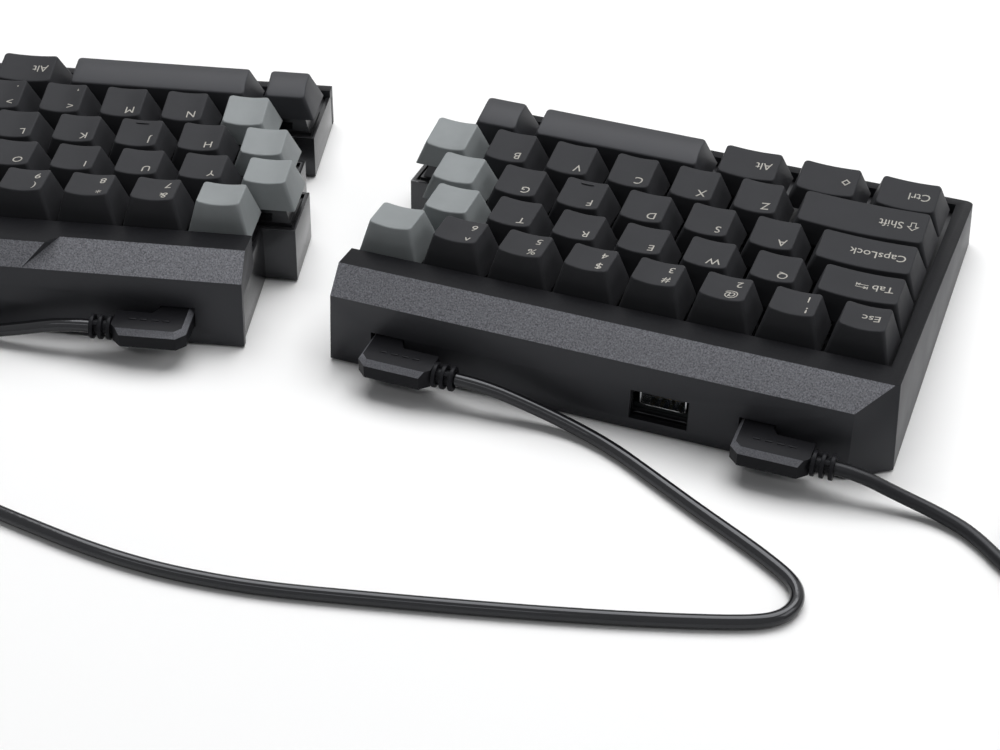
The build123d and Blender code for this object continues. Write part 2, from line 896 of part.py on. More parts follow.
def biarc(p0, t0, p1, t1):
    """Two tangent arcs from p0 along t0 to p1 along t1."""
    gap = p1 - p0
    both = t0 + t1
    a = 2 * t0.dot(t1) - 2
    b = -2 * gap.dot(both)
    c = gap.dot(gap)
    reach = 2 * c / (math.sqrt(b * b - 4 * a * c) - b)
    first = p0 + t0 * reach
    second = p1 - t1 * reach
    middle = (first + second) / 2
    join = (second - first).normalized()
    return [TangentArc(p0, middle, tangent=t0), TangentArc(middle, p1, tangent=join)]


def coil_place(turns):
    """Centre line of the coil after a number of turns: spiral in below, climb, spiral out above."""
    pitch = cord_size + coil_gap
    climb_start = coil_turns / 2 - climb_turns / 2
    climb = min(max(turns - climb_start, 0), climb_turns) / climb_turns
    mean = coil_across_share * cord_size / 2
    radius = mean + pitch * (abs(turns - coil_turns / 2) - coil_turns / 4)
    angle = math.radians(coil_start_angle) + 2 * math.pi * turns
    z = cord_radius + pitch * (climb - math.sin(2 * math.pi * climb) / (2 * math.pi))
    x = coil_centre_x + radius * math.cos(angle)
    return Vector(x, coil_centre_y + radius * math.sin(angle), z)


def coil_path():
    """The coil from its lower end to its upper end, which comes down beside it to the desk."""
    count = round(coil_turns / arc_turns)
    places = [coil_place(i * arc_turns) for i in range(count + 1)]
    tangents = []
    for i in range(count + 1):
        low = coil_place(max(i - near_share, 0) * arc_turns)
        high = coil_place(min(i + near_share, count) * arc_turns)
        tangents.append((high - low).normalized())
    level = Vector(tangents[-1].X, tangents[-1].Y, 0)
    tail = places[-1] + level * coil_tail
    tail = Vector(tail.X, tail.Y, usb_body_height / 2)
    edges = []
    for i in range(count):
        edges += biarc(places[i], tangents[i], places[i + 1], tangents[i + 1])
    edges += biarc(places[-1], tangents[-1], tail, level)
    begin = places[0] - tangents[0] * cord_size
    end = tail + level * cord_size
    edges = [Line(begin, places[0])] + edges + [Line(tail, end)]
    return Wire(edges), begin, tangents[0], end, level


def least_coil_gap(path):
    """Smallest clear distance between two turns, measured on points of the centre line."""
    per_turn = 60
    count = per_turn * coil_turns
    points = [path @ (i / count) for i in range(count + 1)]
    least = overrun
    for i in range(count + 1):
        for j in range(i + per_turn // 2, count + 1):
            least = min(least, (points[i] - points[j]).length)
    return least - cord_size


def host_coil():
    path, begin, begin_way, end, end_way = coil_path()
    solid = sweep(cord_section(Plane(origin=begin, z_dir=begin_way)), path=path)
    print("coil length", round(path.length, 1), "least gap", round(least_coil_gap(path), 2))
    return solid.solid(), begin, begin_way, end, end_way


# Assembly
port_places = {
    "left": [("mini", host_port), ("hub", hub_port), ("mini", link_port_left)],
    "right": [("mini", link_port_right)],
}
end_shares = {"left": left_end_shares, "right": right_end_shares}
right_place = Location((right_shift_x, right_shift_y, 0), (0, 0, right_turn))
flip = Pos(layout_units * key_pitch, 0, 0)


def placed(side, shape, is_mirrored):
    """Put a piece of one half on the desk; pieces drawn in q are mirrored for the right half."""
    if side == "left":
        return shape
    if is_mirrored:
        shape = flip * mirror(shape, about=Plane.YZ)
    return right_place * shape


nodes = {}


def add(name, side, shapes, is_mirrored=True):
    nodes.setdefault(name, []).extend(placed(side, shape, is_mirrored) for shape in shapes)


for side in ("left", "right"):
    ends = end_shares[side]
    ports = port_places[side]
    cover = top_cover(ends, ports)
    if side == "right":
        cover = (cover + raised_panel(ends)).solid()
    add(side + "_top_cover", side, [cover])
    add(side + "_bottom_cover", side, [bottom_cover(ends, ports)])
    add(side + "_switch_plate", side, [switch_plate(side, ends)])
    add(side + "_circuit_board", side, [circuit_board(ends)])
    add("port_boards", side, [port_board(kind, q) for kind, q in ports])
    for kind, q in ports:
        if kind == "mini":
            add("mini_sockets", side, [mini_socket(q)])
        else:
            add("hub_socket", side, [hub_socket(q)])
    add("case_screws", side, screws(ends))
    add("rubber_feet", side, feet(ends))
    add("link_plugs", side, [plug_at(ports[-1][1])])
    made = {}
    for name, row, share, x, is_crowned in key_list(side):
        shape_key = (row, share, is_crowned)
        if shape_key not in made:
            made[shape_key] = key_cap(share, row, is_crowned)
        centre = row_centre(row)
        add(name, side, [on_plate(made[shape_key], x, centre)], False)
        body = housing(0, switch_cutout, switch_flange, switch_top, slider_size)
        add("switch_housings", side, [on_plate(body, x, centre)], False)
        for dx in boss_places(share):
            body = housing(dx, stabiliser_cutout, stabiliser_flange, stabiliser_top, stabiliser_slider)
            add("stabiliser_housings", side, [on_plate(body, x, centre)], False)

nodes["host_plug"] = [plug_at(host_port)]
coil, coil_begin, coil_begin_way, coil_end, coil_end_way = host_coil()
nodes["host_cable_coil"] = [coil]
host_exit = Pos(host_port - plug_exit_reach, plug_exit_y, port_axis_height)
lead_in = coil_begin - coil_begin_way * (coil_lead_share * cord_size)
host_points = [host_exit, host_exit * Pos(-host_lead, 0, 0)]
host_points = [tuple(place.position) for place in host_points] + route_points(host_route_shares)
host_points += [tuple(lead_in), tuple(coil_begin)]
nodes["host_cable"] = [tube(host_points, "host cable")[0]]
left_exit = Pos(link_port_left - plug_exit_reach, plug_exit_y, port_axis_height)
right_exit = right_place * Pos(
    layout_units * key_pitch - link_port_right + plug_exit_reach, plug_exit_y, port_axis_height
)
link_points = [tuple(place.position) for place in (left_exit, left_exit * Pos(-link_lead, 0, 0))]
link_points += route_points(link_route_shares)
link_points += [tuple(place.position) for place in (right_exit * Pos(link_lead, 0, 0), right_exit)]
nodes["link_cable"] = [tube(link_points, "link cable")[0]]
nodes["usb_plug"] = [Plane(origin=coil_end, x_dir=coil_end_way, z_dir=(0, 0, 1)) * usb_plug()]

# The origin is at the middle of the two halves, on the desk
cord_names = ["link_plugs", "link_cable", "host_plug", "host_cable", "host_cable_coil", "usb_plug"]
still = [shape for name, shapes in nodes.items() if name not in cord_names for shape in shapes]
boxes = [shape.bounding_box() for shape in still]
low_x, high_x = min(box.min.X for box in boxes), max(box.max.X for box in boxes)
low_y, high_y = min(box.min.Y for box in boxes), max(box.max.Y for box in boxes)
to_origin = Pos(-(low_x + high_x) / 2, -(low_y + high_y) / 2, 0)
print("origin shift", [round(value, 3) for value in to_origin.position])
print("halves", round(high_x - low_x, 2), round(high_y - low_y, 2))

for name, shapes in nodes.items():
    placed_shapes = [to_origin * shape for shape in shapes]
    whole = placed_shapes[0] if len(placed_shapes) == 1 else Compound(placed_shapes)
    export_step(whole, "parts/" + name + ".step")
print("nodes", len(nodes))
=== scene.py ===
"""Split keyboard with sculpted keycaps, a linking cable and a computer cable."""

import math

import bmesh
import bpy
from bpy.props import BoolProperty, FloatProperty, FloatVectorProperty, IntProperty, PointerProperty
from mathutils import Matrix, Vector


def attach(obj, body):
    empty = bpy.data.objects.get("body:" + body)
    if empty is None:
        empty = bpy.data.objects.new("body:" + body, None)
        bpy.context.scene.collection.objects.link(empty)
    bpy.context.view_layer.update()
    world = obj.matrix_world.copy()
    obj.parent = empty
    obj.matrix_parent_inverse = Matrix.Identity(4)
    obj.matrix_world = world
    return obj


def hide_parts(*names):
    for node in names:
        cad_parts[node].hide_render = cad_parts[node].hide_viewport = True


bl_info = {
    "name": "Split Keyboard",
    "version": (1, 0, 0),
    "blender": (4, 5, 0),
    "location": "View3D > Sidebar > Split Keyboard",
    "description": "Builds a two-piece keyboard, its cables and a plain studio around it",
    "category": "Object",
}

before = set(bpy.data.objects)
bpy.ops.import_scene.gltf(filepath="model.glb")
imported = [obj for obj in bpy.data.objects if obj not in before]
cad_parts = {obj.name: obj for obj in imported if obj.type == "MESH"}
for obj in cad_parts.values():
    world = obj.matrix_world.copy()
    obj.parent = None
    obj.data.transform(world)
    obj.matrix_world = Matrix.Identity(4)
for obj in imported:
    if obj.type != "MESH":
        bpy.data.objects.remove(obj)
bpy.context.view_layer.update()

# Sizes in millimetres, in the frame of one half: x along the rows, y away from the typist.
# Distances q run from a half's outer side, w is the height above the sloping switch plate.
MM = 0.001
PITCH = 19.05
LAYOUT_UNITS = 15
ROW_COUNT = 5
FIRST_ROW_CENTRE = 16.7
ORIGIN_SHIFT = (-186.722, -78.285, 0.0)
RIGHT_SHIFT = (94.96, -19.13, 0.0)
RIGHT_TURN = math.radians(13.45)
PLATE_HEIGHT = 11.6
PLATE_TILT = math.radians(3.49)
CAP_GAP = 0.95
CAP_INSET = 3.36
CAP_HEIGHT = 11.4
CAP_SKIRT = 6.1
CAP_WALL = 1.2
CAP_CEILING_DROP = 2.1
ROW_TOPS = [
    (0.81, 1.00, -0.49, 1.00),
    (0.89, 0.79, -0.51, 0.86),
    (0.95, 0.705, -0.42, 0.87),
    (0.94, 0.65, -0.43, 0.90),
    (0.96, 0.645, -0.31, 0.905),
]
REAR_LINE = 119.5
CASE_WALL = 2.0
PORT_AXIS = 9.1
HOST_PORT = 30.4
LINK_PORT_LEFT = 135.8
LINK_PORT_RIGHT = 153.3
HUB_PORT = 57.35
HUB_AXIS = 8.4
PLUG_LENGTH = 21.2
PLUG_DEPTH = 9.3
PLUG_HEIGHT = 5.5
PLUG_GAP = 4.5
PLUG_STUB = 9.3
PLUG_SHOULDER = 1.6
PLUG_CORNER = 2.6
PLUG_BEVEL = (1.2, 1.7)
RELIEF_LENGTH = 6.4
PLUG_EXIT_Y = REAR_LINE - CASE_WALL + PLUG_GAP + PLUG_DEPTH / 2
PLUG_EXIT_REACH = PLUG_LENGTH - PLUG_STUB / 2 + RELIEF_LENGTH
LEFT_END = 8
RIGHT_ENDS = (9, 9.5, 9.25, 8.75, 9.25)


def dark(*legends, width=1):
    """Lettered keys of one width."""
    return [(legend, width, "dark") for legend in legends]


# Keys of both halves, row by row from the number row: legend, width in key units, kind of cap
GREY = [("", 1, "grey")]
LEFT_ROWS = [
    dark("Esc", "1!", "2@", "3#", "4$", "5%", "6^") + GREY,
    dark("Tab", width=1.5) + dark(*"QWERT") + GREY,
    dark("CapsLock", width=1.75) + dark(*"ASDFG") + GREY,
    dark("Shift", width=2.25) + dark(*"ZXCVB") + GREY,
    dark("Ctrl", "diamond", "Alt", width=1.25) + [("", 3, "round"), ("", 1, "round")],
]
RIGHT_ROWS = [
    GREY + dark("7&", "8*", "9(", "0)", "-_", "=+") + dark("Backspace", width=2),
    GREY + dark(*"YUIOP", "[{", "]}") + dark("\\|", width=1.5),
    GREY + dark(*"HJKL", ";:", "'\"") + dark("Enter", width=2.25),
    GREY + dark("N", "M", ",<", ".>", "/?") + dark("Shift", width=2.75),
    [("", 1, "round"), ("", 3.25, "round")] + dark("Alt", "diamond", "Menu", "Ctrl", width=1.25),
]
# Names of their nodes, without the start that all keys of the left half share
LEFT_NODES = [
    ["esc", *"123456", "macro_1"],
    ["tab", *"qwert", "macro_2"],
    ["caps_lock", *"asdfg", "macro_3"],
    ["left_shift", *"zxcvb", "macro_4"],
    ["left_ctrl", "left_meta", "left_alt", "left_space", "macro_5"],
]
RIGHT_NODES = [
    "right_number_keys", "right_upper_keys", "right_home_keys", "right_lower_keys",
    "right_thumb_keys",
]
HOMING_KEYS = ("F", "J")

# Control points of the two loose cables, as shares of the key pitch: place and lift off the desk
LINK_ROUTE = [
    (4.808, 6.625, 0.205), (4.136, 6.667, 0.047), (3.465, 6.887, 0), (2.756, 7.291, 0),
    (1.995, 7.732, 0), (1.26, 8.131, 0), (0.829, 8.386, 0), (0.504, 8.609, 0),
    (0.346, 8.824, 0), (0.31, 9.06, 0), (0.388, 9.297, 0), (0.572, 9.48, 0),
    (0.913, 9.643, 0), (1.68, 9.9, 0), (2.625, 10.184, 0), (3.99, 10.546, 0),
    (5.564, 10.929, 0), (7.192, 11.297, 0), (8.819, 11.402, 0), (10.761, 11.129, 0),
    (12.205, 10.856, 0), (13.475, 10.572, 0), (14.094, 10.005, 0), (14.336, 9.192, 0),
    (14.126, 8.373, 0), (13.622, 7.848, 0), (13.076, 7.706, 0.058), (12.425, 7.585, 0.21),
]
HOST_ROUTE = [(-0.53, 6.622, 0.147), (-1.076, 6.672, 0.031), (-1.601, 6.887, 0)]
CORD_RADIUS = 1.9
LINK_LEAD = 8.4
HOST_LEAD = 5.5
COIL_TURNS = 7
COIL_LEAD_SHARE = 3.6
COIL_CENTRE = (-74.0, 127.6)
COIL_START = math.radians(53.0)
COIL_PITCH = 4.3
COIL_MEAN = 22.8
COIL_TAIL = 40.0
USB_HALF_HEIGHT = 4.3


class KeyboardSizes(bpy.types.PropertyGroup):
    """Sizes of the visible details"""

    cap_edge: FloatProperty(
        name="Cap edge", description="Radius of the rounding along a cap's upper edge",
        default=0.45 * MM, min=0.1 * MM, max=1.0 * MM, precision=5, unit="LENGTH",
    )
    cap_corner: FloatProperty(
        name="Cap corner", description="Radius of a cap's upright corners at its top",
        default=1.25 * MM, min=0.3 * MM, max=2.5 * MM, precision=5, unit="LENGTH",
    )
    cap_dish: FloatProperty(
        name="Cap dish", description="Depth of the hollow in a cap's top",
        default=0.8 * MM, min=0.0, max=1.5 * MM, precision=5, unit="LENGTH",
    )
    cap_crown: FloatProperty(
        name="Space bar crown", description="Height of the rounding on the thumb keys",
        default=0.8 * MM, min=0.0, max=1.5 * MM, precision=5, unit="LENGTH",
    )
    legend_height: FloatProperty(
        name="Legend height", description="Height of a capital letter on a cap",
        default=2.75 * MM, min=1.0 * MM, max=5.0 * MM, precision=5, unit="LENGTH",
    )
    cable_diameter: FloatProperty(
        name="Cable diameter", description="Diameter of both cables",
        default=3.8 * MM, min=2.0 * MM, max=6.0 * MM, precision=5, unit="LENGTH",
    )
    case_edge: FloatProperty(
        name="Case edge", description="Width of the rounding along the case's edges",
        default=0.35 * MM, min=0.05 * MM, max=1.0 * MM, precision=5, unit="LENGTH",
    )
    rib_count: IntProperty(
        name="Relief ribs", description="Ribs on the strain relief of each plug",
        default=3, min=1, max=8,
    )


class KeyboardFinish(bpy.types.PropertyGroup):
    """Colours of the pieces"""

    case_colour: FloatVectorProperty(
        name="Case", description="Textured plastic of the two top covers", subtype="COLOR",
        size=4, min=0.0, max=1.0, default=(0.0175, 0.0178, 0.0205, 1.0),
    )
    # Painted sheen: the rear bevels share the case's plastic, and this much lighter colour paints in
    # the light that they reflect; only their coarser grain is their own.
    bevel_painted_sheen: FloatVectorProperty(
        name="Bevel", description="Coarser, lighter texture along the rear bevels", subtype="COLOR",
        size=4, min=0.0, max=1.0, default=(0.136, 0.138, 0.152, 1.0),
    )
    tray_colour: FloatVectorProperty(
        name="Tray", description="Satin plastic of the two bottom covers", subtype="COLOR",
        size=4, min=0.0, max=1.0, default=(0.010, 0.010, 0.011, 1.0),
    )
    cap_colour: FloatVectorProperty(
        name="Dark caps", description="Plastic of the lettered keycaps", subtype="COLOR",
        size=4, min=0.0, max=1.0, default=(0.034, 0.0345, 0.0375, 1.0),
    )
    grey_colour: FloatVectorProperty(
        name="Grey caps", description="Plastic of the blank grey keycaps", subtype="COLOR",
        size=4, min=0.0, max=1.0, default=(0.218, 0.234, 0.238, 1.0),
    )
    thumb_colour: FloatVectorProperty(
        name="Thumb caps", description="Plastic of the rounded thumb keys", subtype="COLOR",
        size=4, min=0.0, max=1.0, default=(0.030, 0.0305, 0.0340, 1.0),
    )
    legend_colour: FloatVectorProperty(
        name="Legends", description="Print on the keycaps", subtype="COLOR",
        size=4, min=0.0, max=1.0, default=(0.40, 0.385, 0.35, 1.0),
    )
    cable_colour: FloatVectorProperty(
        name="Cables", description="Jacket of both cables", subtype="COLOR",
        size=4, min=0.0, max=1.0, default=(0.007, 0.007, 0.008, 1.0),
    )
    plug_colour: FloatVectorProperty(
        name="Plugs", description="Moulded bodies of the plugs", subtype="COLOR",
        size=4, min=0.0, max=1.0, default=(0.008, 0.008, 0.0095, 1.0),
    )
    show_legends: BoolProperty(
        name="Show legends", description="Print letters on the keycaps", default=True,
    )


def sizes():
    return bpy.context.scene.keyboard_sizes


def finish_colours():
    return bpy.context.scene.keyboard_finish


# Places
def half_matrix(side):
    """From the frame of one half, in millimetres, to the row frame, in metres."""
    place = Matrix.Translation(ORIGIN_SHIFT)
    if side == "right":
        place = place @ Matrix.Translation(RIGHT_SHIFT) @ Matrix.Rotation(RIGHT_TURN, 4, "Z")
    return Matrix.Scale(MM, 4) @ place


def plate_matrix(side):
    tilt = Matrix.Translation((0, 0, PLATE_HEIGHT)) @ Matrix.Rotation(PLATE_TILT, 4, "X")
    return half_matrix(side) @ tilt


def row_centre(row):
    return FIRST_ROW_CENTRE + (ROW_COUNT - 1 - row) * PITCH


def from_side(side, q):
    return q if side == "left" else LAYOUT_UNITS * PITCH - q


def key_places(side, row):
    """Centre of each key of a row, as (x, entry)."""
    x = 0 if side == "left" else (LAYOUT_UNITS - RIGHT_ENDS[row]) * PITCH
    places = []
    for entry in (LEFT_ROWS if side == "left" else RIGHT_ROWS)[row]:
        width = entry[1] * PITCH
        places.append((x + width / 2, entry))
        x += width
    return places


def on_plate(side, row, x):
    """Place of a key on its switch plate."""
    return plate_matrix(side) @ Matrix.Translation((x, row_centre(row), 0))


def unscaled(matrix):
    """The turn and the point of a place in metres, without its scale."""
    location, turn = matrix.decompose()[:2]
    return Matrix.Translation(location) @ turn.to_matrix().to_4x4()


# Nodes
def add_node(tree, kind, inputs=(), **settings):
    """New node in a tree, its inputs fed from sockets or set to values."""
    made = tree.nodes.new(kind)
    for name, value in settings.items():
        setattr(made, name, value)
    for name, source in dict(inputs).items():
        if isinstance(source, bpy.types.NodeSocket):
            tree.links.new(source, made.inputs[name])
        else:
            made.inputs[name].default_value = source
    return made


def evaluated_mesh(holder):
    """Mesh of an object with its modifiers applied."""
    bpy.context.view_layer.update()
    graph = bpy.context.evaluated_depsgraph_get()
    return bpy.data.meshes.new_from_object(holder.evaluated_get(graph))


# Materials
NOISE_MIDDLE = (0.3, 0.7)
PLASTIC_SHEEN = (0.93, 0.95, 1.0, 1.0)
GLOSS_SCALE = 90.0
GLOSS_VARIATION = 0.06
TINT_VARIATION = 0.07
GRAIN_RELIEF = 0.1
SCRATCH_SCALE = 2500.0
SCRATCH_RELIEF = 0.02 * MM
SCRATCH_GLOSS = (0.8, 1.3)
MATERIALS = {}


class Surface:
    """A material under construction: Principled shader, Object coordinates and short wiring."""

    def __init__(self, name, colour, roughness):
        self.material = bpy.data.materials.new(name)
        self.material.use_nodes = True
        self.tree = self.material.node_tree
        self.shader = self.tree.nodes["Principled BSDF"]
        self.shader.inputs["Base Color"].default_value = colour
        self.shader.inputs["Roughness"].default_value = roughness
        self.coords = self.tree.nodes.new("ShaderNodeTexCoord").outputs["Object"]
        self.material.diffuse_color = colour

    def set(self, **values):
        for name, value in values.items():
            self.shader.inputs[name.replace("_", " ")].default_value = value

    def feed(self, name, source):
        self.tree.links.new(source, self.shader.inputs[name])

    def noise(self, scale, detail=2.0, roughness=0.5):
        inputs = {"Vector": self.coords, "Scale": scale, "Detail": detail, "Roughness": roughness}
        return add_node(self.tree, "ShaderNodeTexNoise", inputs).outputs["Fac"]

    def spread(self, value, low, high):
        """The middle range of a noise, stretched to another range."""
        inputs = {
            "Value": value, "From Min": NOISE_MIDDLE[0], "From Max": NOISE_MIDDLE[1],
            "To Min": low, "To Max": high,
        }
        return add_node(self.tree, "ShaderNodeMapRange", inputs).outputs["Result"]

    def bump(self, height, strength, distance):
        inputs = {"Height": height, "Strength": strength, "Distance": distance}
        self.feed("Normal", add_node(self.tree, "ShaderNodeBump", inputs).outputs["Normal"])

    def tint(self, noise, colour, variation):
        """Colour that grows darker and lighter with a noise."""
        inputs = {
            "Factor": self.spread(noise, 0.0, 1.0),
            "A": shade(colour, 1 - variation), "B": shade(colour, 1 + variation),
        }
        mix = add_node(self.tree, "ShaderNodeMix", inputs, data_type="RGBA")
        self.feed("Base Color", mix.outputs["Result"])


def shade(colour, factor):
    return tuple(min(1.0, channel * factor) for channel in colour[:3]) + (1.0,)


def moulded(name, colour, roughness, grain, depth, specular=0.5, mottle=0.0):
    """Moulded plastic: fine eroded grain, slow variation of gloss and a faint unevenness of colour.

    A mottle above nought varies the colour with the grain itself, as on a coarse texture.
    """
    surface = Surface(name, colour, roughness)
    surface.set(Specular_IOR_Level=specular, Specular_Tint=PLASTIC_SHEEN)
    fine = surface.noise(grain, detail=3.0, roughness=0.6)
    slow = surface.noise(GLOSS_SCALE, detail=4.0)
    if mottle:
        surface.tint(fine, colour, mottle)
    else:
        surface.tint(slow, colour, TINT_VARIATION)
    dull = min(1.0, roughness * (1 + GLOSS_VARIATION))
    surface.feed("Roughness", surface.spread(slow, roughness * (1 - GLOSS_VARIATION), dull))
    surface.bump(fine, depth, GRAIN_RELIEF / grain)
    return surface.material


def metal(name, colour, roughness):
    """Drawn metal: fine scratches that vary the gloss."""
    surface = Surface(name, colour, roughness)
    surface.set(Metallic=1.0)
    scratch = surface.noise(SCRATCH_SCALE, detail=3.0)
    low, high = SCRATCH_GLOSS
    surface.feed("Roughness", surface.spread(scratch, roughness * low, roughness * high))
    surface.bump(scratch, 0.08, SCRATCH_RELIEF)
    return surface.material


def make_materials():
    """Materials of all pieces, some with painted shade and sheen: colour, roughness, grain, depth of
    the grain, specular and mottle.
    """
    colours = finish_colours()
    bevel = colours.bevel_painted_sheen
    MATERIALS.update(
        # One plastic in three materials: the roof is painted at under half the case's colour as
        # painted shade, the rear bevels much lighter as painted sheen, and the walls keep the case's
        # own colour; each one's grain is its own.
        case=moulded("case_roof_painted_shade", shade(colours.case_colour, 0.45), 0.46, 1500.0, 0.35, 0.06, 0.2),
        case_bevel=moulded("case_bevel", bevel, 0.50, 2300.0, 1.0, 0.5, 0.7),
        case_wall=moulded("case_wall", colours.case_colour, 0.45, 2600.0, 0.10, 0.36),
        tray=moulded("tray_satin", colours.tray_colour, 0.24, 1500.0, 0.04, 0.5),
        dark=moulded("cap_charcoal", colours.cap_colour, 0.45, 3000.0, 0.15, 0.05),
        grey=moulded("cap_grey", colours.grey_colour, 0.50, 3000.0, 0.12, 0.25),
        round=moulded("cap_thumb", colours.thumb_colour, 0.45, 3000.0, 0.12, 0.2),
        legend=moulded("legend_print", colours.legend_colour, 0.55, 5000.0, 0.05, 0.2),
        stem=moulded("switch_stem", (0.05, 0.022, 0.012, 1.0), 0.35, 2500.0, 0.05),
        housing=moulded("switch_housing", (0.010, 0.010, 0.011, 1.0), 0.30, 1800.0, 0.06),
        plate=moulded("plate_lacquer", (0.012, 0.012, 0.013, 1.0), 0.40, 2200.0, 0.2),
        cable=moulded("cable_jacket", colours.cable_colour, 0.12, 260.0, 0.10, 0.42),
        host_cable=moulded("cable_jacket_satin", colours.cable_colour, 0.36, 200.0, 0.05, 0.25),
        plug=moulded("plug_moulding", colours.plug_colour, 0.42, 1800.0, 0.3, 0.1),
        # Painted sheen: the plugs' bevels take a lighter copy of the bevel colour, though they are the
        # plug's own plastic.
        plug_bevel=moulded("plug_bevel", shade(bevel, 0.85), 0.45, 2600.0, 0.6, 0.4, 0.4),
        board=moulded("solder_mask", (0.006, 0.009, 0.008, 1.0), 0.30, 900.0, 0.05),
        rubber=moulded("foot_rubber", (0.016, 0.016, 0.016, 1.0), 0.72, 2000.0, 0.35, 0.3),
        insulator=moulded("socket_insulator", (0.012, 0.012, 0.013, 1.0), 0.35, 1500.0, 0.03),
        shell=metal("socket_shell", (0.62, 0.63, 0.64, 1.0), 0.22),
        contact=metal("gold_contact", (0.83, 0.60, 0.24, 1.0), 0.25),
        screw=metal("screw_steel", (0.22, 0.22, 0.23, 1.0), 0.35),
    )


# Pieces
SMOOTH_ANGLE = math.radians(35)


def link_object(name, data):
    made = bpy.data.objects.new(name, data)
    bpy.context.scene.collection.objects.link(made)
    return made


def piece(name, mesh, body, replaced=()):
    made = link_object(name, mesh)
    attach(made, body)
    if replaced:
        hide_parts(*replaced)
    return made


class Shape:
    """Loose collection of points and faces, with a material number for each face."""

    def __init__(self):
        self.points = []
        self.faces = []
        self.marks = []

    def add(self, points, faces, mark, matrix=None):
        """Add faces at a place; a mirrored place turns them over, so that they still face out."""
        start = len(self.points)
        is_mirrored = matrix and matrix.determinant() < 0
        for point in points:
            self.points.append(matrix @ Vector(point) if matrix else Vector(point))
        for face in faces:
            corners = tuple(start + i for i in face)
            self.faces.append(corners[:1] + corners[:0:-1] if is_mirrored else corners)
        self.marks += [mark] * len(faces)

    def add_bmesh(self, made, mark, matrix=None, marks=None):
        made.verts.index_update()
        self.add(
            [vert.co.copy() for vert in made.verts],
            [[vert.index for vert in face.verts] for face in made.faces],
            mark, matrix,
        )
        if marks:
            self.marks[-len(marks):] = marks
        made.free()

    def box(self, low, high, mark, matrix=None, bevel=0.0):
        """Block between two corners, with its edges rounded by a bevel."""
        made = bmesh.new()
        bmesh.ops.create_cube(made, size=1.0)
        for vert in made.verts:
            vert.co = [(low[i] + high[i]) / 2 + vert.co[i] * (high[i] - low[i]) for i in range(3)]
        if bevel:
            round_edges(made, made.edges[:], bevel)
        self.add_bmesh(made, mark, matrix)

    def bar(self, radii, length, segments, place, mark, matrix=None):
        """Round bar about the z axis of its place, with a radius at each end."""
        made = bmesh.new()
        bmesh.ops.create_cone(
            made, cap_ends=True, segments=segments, radius1=radii[0], radius2=radii[1],
            depth=length, matrix=place,
        )
        self.add_bmesh(made, mark, matrix)

    def mesh(self, name, palette):
        """Mesh of the shape, with the materials of a palette for its marks."""
        made = bpy.data.meshes.new(name)
        made.from_pydata([tuple(point) for point in self.points], [], self.faces)
        for key in palette:
            made.materials.append(MATERIALS[key])
        made.polygons.foreach_set("material_index", self.marks)
        made.shade_smooth()
        made.set_sharp_from_angle(angle=SMOOTH_ANGLE)
        made.update()
        return made

    def as_piece(self, name, palette, replaced=(), body="keyboard"):
        return piece(name, self.mesh(name, palette), body, replaced)


def round_edges(made, edges, radius):
    bmesh.ops.bevel(
        made, geom=edges, offset=radius, segments=2, profile=0.5, affect="EDGES", clamp_overlap=True,
    )


# Keycaps
CORNER_STEPS = 4
SIDE_STEPS = 3
STEPS_PER_UNIT = 5
LEAST_STEPS = 6
SKIRT_CORNER = 0.75
INNER_CORNER = 0.4
WALL_SHARES = (0.0, 0.5)
EDGE_SHARES = (0.0, 0.25, 0.5, 0.75, 1.0)
TOP_SHARES = (0.3, 0.6, 0.85, 1.0)
CORE_SHARE = 0.999
MERGE_DISTANCE = 0.0005


class Cap:
    """Measures of one keycap, in millimetres from its centre on the switch plate."""

    def __init__(self, width_units, row, kind):
        self.width_units = width_units
        self.kind = kind
        self.half_x = (width_units * PITCH - CAP_GAP) / 2
        self.half_v = (PITCH - CAP_GAP) / 2
        self.top_x = width_units * PITCH / 2 - CAP_INSET
        rear, rear_rise, front, front_rise = ROW_TOPS[row]
        self.rear = rear * self.half_v
        self.front = front * self.half_v
        self.rear_rise = rear_rise * CAP_HEIGHT
        self.front_rise = front_rise * CAP_HEIGHT
        self.least_rise = min(self.rear_rise, self.front_rise)
        self.hollow = self.least_rise - CAP_CEILING_DROP

    def plane(self, v):
        """Height of the sloping flat from which the top is curved."""
        slope = (self.rear_rise - self.front_rise) / (self.rear - self.front)
        return CAP_SKIRT + self.front_rise + slope * (v - self.front)

    def level(self, x, v):
        """Height of the top, crowned from front to rear or dished from side to side."""
        if self.kind == "round":
            share = (v - (self.rear + self.front) / 2) / ((self.rear - self.front) / 2)
            return self.plane(v) + sizes().cap_crown / MM * max(-1.0, 1 - share * share)
        share = x / self.top_x
        return self.plane(v) - sizes().cap_dish / MM * max(-1.0, 1 - share * share)

    def top_point(self, x, v):
        return Vector((x, v, self.level(x, v)))


def rounded_outline(half_x, low_v, high_v, radius, steps):
    """Points round a rectangle with round corners, from the right end of its front edge."""
    corners = [
        (half_x - radius, low_v + radius, -90), (half_x - radius, high_v - radius, 0),
        (radius - half_x, high_v - radius, 90), (radius - half_x, low_v + radius, 180),
    ]

    def on_corner(number, turn):
        x, v, start = corners[number % 4]
        angle = math.radians(start + turn)
        return x + radius * math.cos(angle), v + radius * math.sin(angle)

    points = []
    for number in range(4):
        points += [on_corner(number, 90 * i / CORNER_STEPS) for i in range(CORNER_STEPS + 1)]
        begin, end = points[-1], on_corner(number + 1, 0)
        count = steps[(number + 1) % 2]
        for i in range(1, count):
            share = i / count
            points.append(tuple(begin[k] + (end[k] - begin[k]) * share for k in range(2)))
    return points


def ring_faces(rings, count):
    """Quads between rings of points that follow each other."""
    faces = []
    for ring in range(rings - 1):
        for i in range(count):
            a, b = ring * count + i, ring * count + (i + 1) % count
            faces.append((a, b, b + count, a + count))
    return faces


